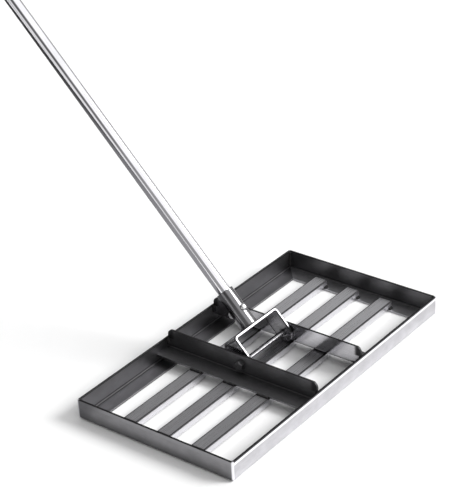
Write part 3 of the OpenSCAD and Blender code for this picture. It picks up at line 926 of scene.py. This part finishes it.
zinc_plate = zinc()
nut_nylon = nylon()
pivot_steel = shaded_pivot_steel()
print("zinc, nylon and oiled steel are mixed")

# %% [markdown]
# ## Bolts and nuts
# The pivot is a hexagon bolt with a lock nut, and round-headed bolts hold the handle's sections. A hexagon
# could be an extruded six-sided face. On a real one a cone cuts off the corners, so a turned blank is
# intersected with a six-sided block. The threads that show past the nuts are turned as a row of ridges,
# which looks like a helix at this size and closes more simply.

# %% Hexagons and threads
HEX_COSINE = math.cos(math.radians(30))
HEX_SLOPE = math.tan(math.radians(30))
HEX_FACE_SHARE = 0.95
THREAD_DEPTH_SHARE = 0.55
CREST_FROM_SHARE = 0.4
CREST_TO_SHARE = 0.6


def hexagon(flats, low, high):
    """Six-sided block about Z between two levels."""
    deselect()
    bpy.ops.mesh.primitive_cylinder_add(vertices=6, radius=flats / 2 / HEX_COSINE, depth=high - low,
                                        location=(0, 0, (low + high) / 2))
    block = bpy.context.object
    bpy.ops.object.transform_apply(location=True, rotation=True, scale=True)
    return block


def hex_head(flats, low, high):
    """Bolt head with its corners cut off at the outer face. The block is longer than the blank."""
    face_r = HEX_FACE_SHARE * flats / 2
    drop = (flats - face_r) * HEX_SLOPE
    blank = turn_on_lathe("blank", [(flats, low), (flats, high - drop), (face_r, high)])
    carve(blank, hexagon(flats, low - flats, high + flats), "INTERSECT")
    return blank


def thread(radius, low, high, pitch):
    """Profile points of a threaded stretch, from low to high."""
    count = max(1, round((high - low) / pitch))
    step = (high - low) / count
    root_r = radius - THREAD_DEPTH_SHARE * pitch
    points = []
    for i in range(count):
        points.append((root_r, low + i * step))
        points.append((radius, low + (i + CREST_FROM_SHARE) * step))
        points.append((radius, low + (i + CREST_TO_SHARE) * step))
    return points + [(root_r, high)]


print("hexagons and threads are ready")

# %% Lock nuts
NUT_HEX_SHARE = 0.7
NUT_RING_SHARE = 0.88
NUT_LIP_SHARE = 0.12
CROWN_LIPS = 2.2
INSERT_LIPS = 2.3
RECESS_LIPS = 2.4
RECESS_BORE_SHARE = 0.9
BORE_EASE = 1.01


def joined(pieces, name):
    """One object of several."""
    deselect()
    for piece in pieces:
        piece.select_set(True)
    bpy.context.view_layer.objects.active = pieces[0]
    bpy.ops.object.join()
    pieces[0].name = name
    return pieces[0]


def lock_nut(name, flats, bolt_r, height, material):
    """Nut on the XY plane: hexagon below, round ring above, and a nylon insert in the ring."""
    hex_h = NUT_HEX_SHARE * height
    ring_r = NUT_RING_SHARE * flats / 2
    lip = NUT_LIP_SHARE * height
    bore_r = bolt_r * BORE_EASE
    nut = hex_head(flats, 0, hex_h)
    crown = [(ring_r, hex_h / 2), (ring_r, height - lip)] + arc((ring_r - lip, height - lip), lip, 0, 90)
    crown += [(ring_r - CROWN_LIPS * lip, height), (ring_r - RECESS_LIPS * lip, height - lip)]
    crown += [(bolt_r * RECESS_BORE_SHARE, height - lip)]
    carve(nut, turn_on_lathe("crown", crown), "UNION")
    drill(nut, bore_r, Matrix.Identity(4))
    nut.data.materials.append(material)
    insert = sleeve_profile(bore_r, ring_r - INSERT_LIPS * lip, hex_h, height - lip / 3, lip / 3)
    ring = turn_on_lathe("insert", insert)
    ring.data.materials.append(nut_nylon)
    return joined([nut, ring], name)


print("lock nuts can be made")

# %% Round bolts
BOLT_SIDES = 48
BOLT_EDGE = 0.12 * MM
TIP_SHARE = 0.8
LEAD_SHARE = 0.5
CROWN_FLAT_SHARE = 0.3
KEY_WIDTH_SHARE = 0.5
KEY_DEPTH_SHARE = 0.55


def round_bolt(name, bolt_r, head_r, head_h, seat, tail, pitch):
    """Bolt along Z: a domed head with a key hole on the seat, and a threaded tail."""
    ball_r = (head_r * head_r + head_h * head_h) / (2 * head_h)
    rim = math.degrees(math.asin((ball_r - head_h) / ball_r))
    crown = math.degrees(math.acos(CROWN_FLAT_SHARE * head_r / ball_r))
    plain = -seat + pitch
    tail_points = [(bolt_r - TIP_SHARE * pitch, -tail)]
    tail_points += thread(bolt_r, -tail + LEAD_SHARE * pitch, plain, pitch)
    dome = arc((0, seat + head_h - ball_r), ball_r, rim, crown, 10)
    shank = [(bolt_r, plain), (bolt_r, seat), (dome[0][0], seat)]
    bolt = turn_on_lathe(name, tail_points + shank + dome, BOLT_SIDES)
    key_foot = seat + (1 - KEY_DEPTH_SHARE) * head_h
    carve(bolt, hexagon(KEY_WIDTH_SHARE * 2 * head_r, key_foot, seat + 2 * head_h))
    soften(bolt, BOLT_EDGE, angle=45)
    return bolt


print("round bolts can be made")

# %% [markdown]
# ## The pivot
# The bolt goes through both cross bars and the stirrup. Its head is at the near end and a lock nut at the
# far end, each on a washer, and two spacers fill the room beside the stirrup. Head and shank could be two
# meshes in one object. They are united here, because a real bolt is one piece. All sizes along the bolt
# are measured on the construction.

# %% Pivot bolt
PIVOT_R = 4 * MM
PIVOT_FLATS = 13 * MM
PIVOT_PITCH = 1.25 * MM
PIVOT_HEAD_EDGE = 0.2 * MM
HEAD_BITE = 1 * MM
HEX_ANGLE = 25

washer_low, washer_high = measured("pivot_washers", on_pivot)
bolt_low, bolt_high = measured("pivot_bolt", on_pivot)

head = hex_head(PIVOT_FLATS, washer_high.z, bolt_high.z)
shank = [(PIVOT_R - TIP_SHARE * PIVOT_PITCH, bolt_low.z)]
shank += thread(PIVOT_R, bolt_low.z + LEAD_SHARE * PIVOT_PITCH, washer_low.z, PIVOT_PITCH)
shank += [(PIVOT_R, washer_low.z), (PIVOT_R, washer_high.z + HEAD_BITE)]
pivot_bolt = turn_on_lathe("hexagon_pivot_bolt", shank, FINE_SIDES)
soften(head, PIVOT_HEAD_EDGE, angle=HEX_ANGLE)
carve(pivot_bolt, head, "UNION")
put(pivot_bolt, on_pivot)
stand_in(pivot_bolt, "head", "fastener_steel", pivot_steel, "pivot_bolt", smooth=30)

# %% Pivot nut
PIVOT_NUT_EDGE = 0.15 * MM

nut_low, nut_high = measured("pivot_nut", on_pivot)
flip = Matrix.Rotation(math.pi, 4, "X")
pivot_nut = lock_nut("pivot_lock_nut", PIVOT_FLATS, PIVOT_R, nut_high.z - nut_low.z, pivot_steel)
soften(pivot_nut, PIVOT_NUT_EDGE, angle=HEX_ANGLE)
put(pivot_nut, on_pivot @ Matrix.Translation((0, 0, washer_low.z)) @ flip)
stand_in(pivot_nut, "head", "fastener_steel", pivot_steel, "pivot_nut")

# %% Washers and spacers
RING_PLAY = 0.2 * MM
RING_EDGE = 0.35 * MM
SPACER_GAP = 0.2 * MM


def copied(piece, place):
    """A copy with its own mesh, at another place."""
    twin = piece.copy()
    twin.data = piece.data.copy()
    bpy.context.scene.collection.objects.link(twin)
    put(twin, place)
    return twin


def rings_on_pivot(name, node, radius, inner, outer, shift):
    """A ring on the bolt and a shifted copy of it."""
    ring = turn_on_lathe(name, sleeve_profile(PIVOT_R + RING_PLAY, radius, inner, outer, RING_EDGE))
    twin = copied(ring, on_pivot @ shift)
    put(ring, on_pivot)
    pair = joined([ring, twin], name)
    stand_in(pair, "head", "fastener_steel", pivot_steel, node)


washer_from = bar_low.x + RAIL_T
rings_on_pivot("stamped_washers", "pivot_washers", washer_high.x, washer_from, washer_high.z, flip)
spacer_low, spacer_high = measured("pivot_spacers", on_pivot)
spacer_to = (spacer_low.z + spacer_high.z - SPACER_GAP) / 2
next_spacer = Matrix.Translation((0, 0, spacer_high.z - spacer_to))
rings_on_pivot("turned_spacers", "pivot_spacers", spacer_high.x, spacer_low.z, spacer_to, next_spacer)

# %% [markdown]
# ## The socket's bolt
# A round-headed bolt holds the handle in the socket, and its bright head shows on the handle's upper side.
# It is modelled along Z like every bolt. A turn then lays it across the handle, and the nut gets the
# opposite turn.

# %% Socket bolt
SOCKET_BOLT_R = 3 * MM
SOCKET_HEAD_R = 5.25 * MM
SOCKET_PITCH = 1.0 * MM
SOCKET_NUT_FLATS = 10 * MM
SOCKET_NUT_EDGE = 0.12 * MM

cross_low, cross_high = measured("socket_bolt", on_handle)
cross_nut_low, cross_nut_high = measured("socket_nut", on_handle)
at_cross = on_handle @ Matrix.Translation((0, 0, (cross_low.z + cross_high.z) / 2))
cross_bolt = round_bolt("socket_cross_bolt", SOCKET_BOLT_R, SOCKET_HEAD_R, cross_high.y - socket_r, socket_r,
                        -cross_low.y, SOCKET_PITCH)
put(cross_bolt, at_cross @ to_upper_side)
stand_in(cross_bolt, "handle", "fastener_steel", zinc_plate, "socket_bolt")
cross_nut_h = cross_nut_high.y - cross_nut_low.y
cross_nut = lock_nut("socket_lock_nut", SOCKET_NUT_FLATS, SOCKET_BOLT_R, cross_nut_h, zinc_plate)
soften(cross_nut, SOCKET_NUT_EDGE, angle=HEX_ANGLE)
put(cross_nut, at_cross @ to_lower_side @ Matrix.Translation((0, 0, socket_r)))
stand_in(cross_nut, "handle", "fastener_steel", zinc_plate, "socket_nut")

# %% [markdown]
# ## Plastic and rubber
# Collars and cap are black moulded plastic, and the grip is a softer, duller rubber. A plain black would
# look like a hole in the picture. A fine pebble grain breaks the light on both, and one function mixes
# them, because they differ only in numbers.

# %% Plastic and rubber
def moulded(name, dark, light, rough, grain, depth):
    """Moulded plastic or rubber with a fine grain."""
    finish = Finish(name)
    pebble = finish.noise(grain)
    cloud = finish.noise(18 * MM)
    tone = finish.sum("MULTIPLY", finish.sum("ADD", pebble, cloud), 0.5)
    rough_map = finish.ramp(cloud, *NOISE_MID, start=rough - 0.06, end=rough + 0.06)
    return finish.done(finish.colour(tone, dark, light), rough_map, pebble, depth, metallic=0.0)


black_plastic = moulded("collar_plastic", dark=(0.018, 0.018, 0.02), light=(0.04, 0.04, 0.043), rough=0.48,
                        grain=0.5 * MM, depth=0.05 * MM)
black_rubber = moulded("grip_rubber", dark=(0.012, 0.012, 0.012), light=(0.03, 0.03, 0.03), rough=0.75,
                       grain=0.8 * MM, depth=0.12 * MM)
print("plastic and rubber are mixed")

# %% [markdown]
# ## Collars
# Two sleeves cover the joints between the handle's sections, each held by two bolts. They are moulded, so
# every edge is round, and three ring grooves go round them. A groove could be bevelled in afterwards. Here
# it is part of the lathe's profile, and the seats of the bolts are bored into the finished sleeve. One bolt
# and one nut are modelled, then copied.

# %% Grooved sleeves
GROOVE_STEPS = 8


def banded_sleeve(bore, radius, low, high, lip, grooves, width, depth):
    """Profile of a sleeve with smooth ring grooves at given levels, from the lowest up."""
    points = [(bore, high - lip / 2), (bore, low + lip / 2), (bore + lip / 2, low)]
    points += arc((radius - lip, low + lip), lip, -90, 0)
    for level in grooves:
        for i in range(-GROOVE_STEPS // 2, GROOVE_STEPS // 2 + 1):
            dip = depth * math.cos(i * math.pi / GROOVE_STEPS) ** 2
            points.append((radius - dip, level + i * width / GROOVE_STEPS))
    points += arc((radius - lip, high - lip), lip, 0, 90)
    return points + [(bore + lip / 2, high), points[0]]


print("sleeves can be grooved")

# %% Collar bolt and nut
COLLAR_SEAT = 1.8 * MM
COLLAR_BOLT_R = 2.5 * MM
COLLAR_HEAD_R = 4.75 * MM
COLLAR_PITCH = 0.8 * MM
COLLAR_NUT_FLATS = 8 * MM
COLLAR_NUT_EDGE = 0.1 * MM

bolts_low, bolts_high = measured("collar_bolts", on_handle)
nuts_low = measured("collar_nuts", on_handle)[0]
collar_r = measured("lower_collar", on_handle)[1].x
seat = collar_r - COLLAR_SEAT
collar_bolt = round_bolt("collar_bolt", COLLAR_BOLT_R, COLLAR_HEAD_R, bolts_high.y - seat, seat, -bolts_low.y,
                         COLLAR_PITCH)
collar_nut = lock_nut("collar_nut", COLLAR_NUT_FLATS, COLLAR_BOLT_R, -nuts_low.y - seat, zinc_plate)
soften(collar_nut, COLLAR_NUT_EDGE, angle=HEX_ANGLE)
print("collar bolt and nut have their seats", round(seat / MM, 2), "mm from the middle")

# %% Collars
COLLAR_LIP = 1.5 * MM
COLLAR_BOLT_IN = 18 * MM
SEAT_ROOM = 0.2 * MM
BAND_DEPTH = 0.5 * MM
BAND_W = 2.4 * MM

head_seat_r = COLLAR_HEAD_R + SEAT_ROOM
nut_seat_r = COLLAR_NUT_FLATS / 2 / HEX_COSINE + SEAT_ROOM
on_seat = Matrix.Translation((0, 0, seat))
beyond = Matrix.Translation((0, 0, seat + collar_r))
bolt_set = []
nut_set = []
for node in ("lower_collar", "upper_collar"):
    low, high = measured(node, on_handle)
    grooves = [low.z + COLLAR_BOLT_IN / 2, (low.z + high.z) / 2, high.z - COLLAR_BOLT_IN / 2]
    profile = banded_sleeve(SOCKET_BORE_R, collar_r, low.z, high.z, COLLAR_LIP, grooves, BAND_W, BAND_DEPTH)
    collar = turn_on_lathe("moulded_" + node, profile, FINE_SIDES)
    for level in (low.z + COLLAR_BOLT_IN, high.z - COLLAR_BOLT_IN):
        at_bolt = Matrix.Translation((0, 0, level))
        drill(collar, head_seat_r, at_bolt @ to_upper_side @ beyond, 2 * collar_r)
        drill(collar, nut_seat_r, at_bolt @ to_lower_side @ beyond, 2 * collar_r)
        bolt_set.append(copied(collar_bolt, on_handle @ at_bolt @ to_upper_side))
        nut_set.append(copied(collar_nut, on_handle @ at_bolt @ to_lower_side @ on_seat))
    put(collar, on_handle)
    stand_in(collar, "handle", "collar_plastic", black_plastic, node)
bpy.data.objects.remove(collar_bolt)
bpy.data.objects.remove(collar_nut)
stand_in(joined(bolt_set, "collar_round_bolts"), "handle", "fastener_steel", zinc_plate, "collar_bolts")
stand_in(joined(nut_set, "collar_lock_nuts"), "handle", "fastener_steel", zinc_plate, "collar_nuts")

# %% [markdown]
# ## The grip
# A soft sleeve sits on the upper end, with ring grooves that give the hands a hold. It could be an array of
# one ring. The collars' grooved profile does it in one turn of the lathe, with more and deeper grooves.

# %% Grip
GRIP_GROOVES = 10
GRIP_GROOVE_W = 4.2 * MM
GRIP_GROOVE_DEPTH = 0.8 * MM
GRIP_BORE_R = 9.6 * MM

grip_low, grip_high = measured("grip", on_handle)
groove_step = (grip_high.z - grip_low.z) / (GRIP_GROOVES + 1)
grooves = [grip_low.z + i * groove_step for i in range(1, GRIP_GROOVES + 1)]
profile = banded_sleeve(GRIP_BORE_R, grip_high.x, grip_low.z, grip_high.z, COLLAR_LIP, grooves, GRIP_GROOVE_W,
                        GRIP_GROOVE_DEPTH)
grip = turn_on_lathe("moulded_grip", profile, FINE_SIDES)
put(grip, on_handle)
stand_in(grip, "handle", "grip_rubber", black_rubber, "grip")

# %% [markdown]
# ## The end cap
# A plug closes the tube, and its eye hangs the tool on a hook. The plug and its rim come off the lathe. The
# eye could be turned too, but it is flat: a block gets its round top from a wide bevel of two edges, is
# drilled and softened, then united with the plug.

# %% Plug
CAP_T = 4 * MM
CAP_LIP = 1.1 * MM
PLUG_R = 8.7 * MM
PLUG_TIP_IN = 1 * MM
PLUG_TIP_L = 1.5 * MM

cap_low, cap_high = measured("end_cap", on_handle)
rim_low = grip_high.z
rim_high = rim_low + CAP_T
cap_profile = [(PLUG_R - PLUG_TIP_IN, cap_low.z), (PLUG_R, cap_low.z + PLUG_TIP_L), (PLUG_R, rim_low)]
cap_profile += [(grip_high.x - CAP_LIP / 2, rim_low), (grip_high.x, rim_low + CAP_LIP / 2)]
cap_profile += arc((grip_high.x - CAP_LIP, rim_high - CAP_LIP), CAP_LIP, 0, 90)
cap = turn_on_lathe("moulded_end_cap", cap_profile, FINE_SIDES)
print("plug is", round((rim_low - cap_low.z) / MM, 1), "mm deep in the tube")

# %% Eye
EYE_W = 22 * MM
EYE_T = 10 * MM
EYE_HOLE_R = 4.5 * MM
EYE_EDGE = 1.2 * MM

eye_level = cap_high.z - EYE_W / 2
deselect()
bpy.ops.mesh.primitive_cube_add(size=1, location=(0, 0, (rim_low + cap_high.z) / 2 + CAP_T / 4))
eye = bpy.context.object
eye.scale = (EYE_W, EYE_T, cap_high.z - rim_low - CAP_T / 2)
bpy.ops.object.transform_apply(location=True, rotation=True, scale=True)
pick_edges(eye, lambda a, b: min(a.z, b.z) > eye_level and abs(a.x - b.x) < SAME)
bpy.ops.mesh.bevel(offset=NEARLY * EYE_W / 2, segments=ROUND_STEPS, affect="EDGES")
deselect()
drill(eye, EYE_HOLE_R, Matrix.Translation((0, 0, eye_level)) @ to_upper_side)
soften(eye, EYE_EDGE, segments=4, angle=50)
carve(cap, eye, "UNION")
put(cap, on_handle)
stand_in(cap, "handle", "collar_plastic", black_plastic, "end_cap")

# %% [markdown]
# ## Weld beads
# A weld is a row of frozen ripples. Sculpting each one would take long. Here a rod with a rippled profile
# comes off the lathe, a displace modifier makes it uneven, and two bisects keep the quarter that fills
# the corner between two bars. One bead is made for each length, then copied to every seam of that length.

# %% Weld bead
WELD_LEG = 3 * MM
RIPPLE = 1.3 * MM
RIPPLE_STEPS = 4
RIPPLE_LOW = 0.84
RIPPLE_SWELL = 0.16
BEAD_END_SHARE = 0.45
BEAD_SIDES = 28
SINK = 0.25 * MM
UNEVEN = 0.35 * MM
UNEVEN_SIZE = 2.2 * MM
UNEVEN_LEVEL = 0.75


def bead_profile(length):
    """Rippled rod of a given length, thinner at both ends."""
    count = max(3, round(length / RIPPLE))
    points = []
    for i in range(count * RIPPLE_STEPS + 1):
        share = i / (count * RIPPLE_STEPS)
        swell = RIPPLE_LOW + RIPPLE_SWELL * abs(math.sin(share * count * math.pi))
        taper = min(1.0, math.sqrt(min(share, 1 - share) * length / WELD_LEG) + BEAD_END_SHARE)
        points.append((WELD_LEG * swell * taper, share * length))
    return points


def weld_bead(length):
    """Quarter-round rippled bead along Z from the origin, with its legs along +X and +Y."""
    bead = turn_on_lathe("bead", bead_profile(length), BEAD_SIDES)
    clouds = bpy.data.textures.new("weld_clouds", "CLOUDS")
    clouds.noise_scale = UNEVEN_SIZE
    modify(bead, "DISPLACE", texture=clouds, strength=UNEVEN, mid_level=UNEVEN_LEVEL)
    for normal in ((1, 0, 0), (0, 1, 0)):
        edit(bead)
        bpy.ops.mesh.select_all(action="SELECT")
        corner = [-SINK * n for n in normal]
        bpy.ops.mesh.bisect(plane_co=corner, plane_no=normal, use_fill=True, clear_inner=True)
        deselect()
    return bead


print("weld beads can be made")

# %% Seams
def seam(start, leg_a, leg_b, along):
    """Place of a bead that starts at a point, runs along a line and fills the corner of two legs."""
    first, second, run = Vector(leg_a), Vector(leg_b), Vector(along)
    if first.cross(second).dot(run) < 0:
        first, second = second, first
    return Matrix.Translation(start) @ columns(first, second, run)


def weld(name, node, runs, material):
    """All beads of one node: a list of (length, place)."""
    patterns = {}
    beads = []
    for length, place in runs:
        size = round(length / MM, 1)
        if size not in patterns:
            patterns[size] = weld_bead(length)
        beads.append(copied(patterns[size], place))
    for pattern in patterns.values():
        bpy.data.objects.remove(pattern)
    stand_in(joined(beads, name), "head", "weld_steel", material, node, smooth=60)


print("seams can be welded")

# %% [markdown]
# ## Weld metal
# Fresh weld is grey with straw and blue tints from the heat. The bead round the socket was brushed clean.
# Those in the head are painted nearly black, as painted shade. Two noises of different size, mixed, keep the
# beads from looking like paint, and one function serves both because only tone and gloss differ.

# %% Weld steel
def weld_steel(name, dark, light, rough):
    """Weld metal between two colours, with specks and clouds of heat."""
    finish = Finish(name)
    heat = finish.noise(5 * MM, detail=2.0)
    speck = finish.noise(0.6 * MM)
    tone = finish.sum("MULTIPLY", finish.sum("ADD", heat, speck), 0.5)
    colour = finish.colour(finish.ramp(tone, 0.35, 0.65), dark, light)
    rough_map = finish.ramp(speck, *NOISE_MID, start=rough - 0.08, end=rough + 0.08)
    return finish.done(colour, rough_map, speck, depth=0.03 * MM)


weld_metal = weld_steel("brushed_weld", dark=(0.1, 0.1, 0.115), light=(0.25, 0.24, 0.23), rough=0.48)
# Painted shade: the beads in the head are nearly black.
weld_in_shade = weld_steel("shaded_weld", dark=(0.025, 0.025, 0.03), light=(0.07, 0.068, 0.065), rough=0.65)
print("weld metal is mixed")

# %% [markdown]
# ## Welds of the head
# The rails are welded in the four inside corners, the slats along their laps on the end rails, and the
# cross bars to the long rails and the slats. Each seam could be placed by hand. Here it follows from the
# sizes of the bars that meet there, so the loops go over sides and slats.

# %% Corner welds
EDGE_R = 0.6 * MM
X, Y, Z = Vector((1, 0, 0)), Vector((0, 1, 0)), Vector((0, 0, 1))
SIDES = (-1, 1)

wall_x = HEAD_X - RAIL_T
wall_y = HEAD_Y - RAIL_T
corner_foot = RAIL_T + ROOT_R
corner_length = RAIL_H - EDGE_R - corner_foot
corner_runs = []
for sx in SIDES:
    for sy in SIDES:
        start = (sx * wall_x, sy * wall_y, corner_foot)
        corner_runs.append((corner_length, seam(start, -sx * X, -sy * Y, Z)))
weld("corner_beads", "corner_welds", corner_runs, weld_in_shade)

# %% Slat welds
END_FLANGE = 30 * MM

flange_x = HEAD_X - END_FLANGE
slat_boxes = [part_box(slat) for slat in SLATS]
slat_runs = []
for low, high in slat_boxes:
    lap = high.x - flange_x
    across = high.y - low.y - 2 * SLAT_R
    for sx in SIDES:
        for y, sy in ((low.y, -1), (high.y, 1)):
            slat_runs.append((lap, seam((sx * flange_x, y, RAIL_T), sy * Y, Z, sx * X)))
        slat_runs.append((across, seam((sx * high.x, low.y + SLAT_R, RAIL_T), sx * X, Z, Y)))
weld("slat_beads", "slat_welds", slat_runs, weld_in_shade)

# %% Cross bar welds
bar_foot = bar_low.z + RAIL_T + ROOT_R
bar_runs = []
for sx in SIDES:
    for sy in SIDES:
        for x, side in ((bar_low.x, -1), (bar_low.x + RAIL_T, 1)):
            start = (sx * x, sy * wall_y, bar_foot)
            bar_runs.append((RAIL_H - EDGE_R - bar_foot, seam(start, side * sx * X, -sy * Y, Z)))
    for low, high in slat_boxes:
        start = (sx * bar_high.x, low.y + SLAT_R, bar_low.z)
        bar_runs.append((high.y - low.y - 2 * SLAT_R, seam(start, sx * X, Z, Y)))
weld("bar_beads", "cross_bar_welds", bar_runs, weld_in_shade)

# %% [markdown]
# ## Weld of the socket
# One bead runs round the foot of the socket. The straight beads could be bent round it. A torus is already
# round: the edges between its ripples are picked by their angle and drawn in, and a bisect takes off the
# half that would be inside the strap.

# %% Socket weld
RING_LEG = 1.5 * MM
RING_RIPPLES = 30
RING_SIDES = 16
DIP_W = 0.1
DIP_IN = 0.985
DIP_DOWN = 0.72

deselect()
bpy.ops.mesh.primitive_torus_add(major_radius=socket_r, minor_radius=RING_LEG, minor_segments=RING_SIDES,
                                 major_segments=4 * RING_RIPPLES, location=(0, 0, socket_low.z))
ring = bpy.context.object
ring.name = "socket_bead"
bpy.ops.object.transform_apply(location=True, rotation=True, scale=True)


def in_dip(point):
    """Whether a point of the ring lies between two ripples."""
    turn = math.atan2(point.y, point.x) / (2 * math.pi) * RING_RIPPLES
    return abs(turn - round(turn)) < DIP_W


pick_edges(ring, lambda a, b: in_dip(a) and in_dip(b))
bpy.ops.transform.resize(value=(DIP_IN, DIP_IN, DIP_DOWN), center_override=(0, 0, socket_low.z))
bpy.ops.mesh.select_all(action="SELECT")
foot = (0, 0, socket_low.z - SINK)
bpy.ops.mesh.bisect(plane_co=foot, plane_no=(0, 0, 1), use_fill=False, clear_inner=True)
deselect()
close_up(ring)
put(ring, on_handle)
stand_in(ring, "handle", "weld_steel", weld_metal, "socket_weld", smooth=60)
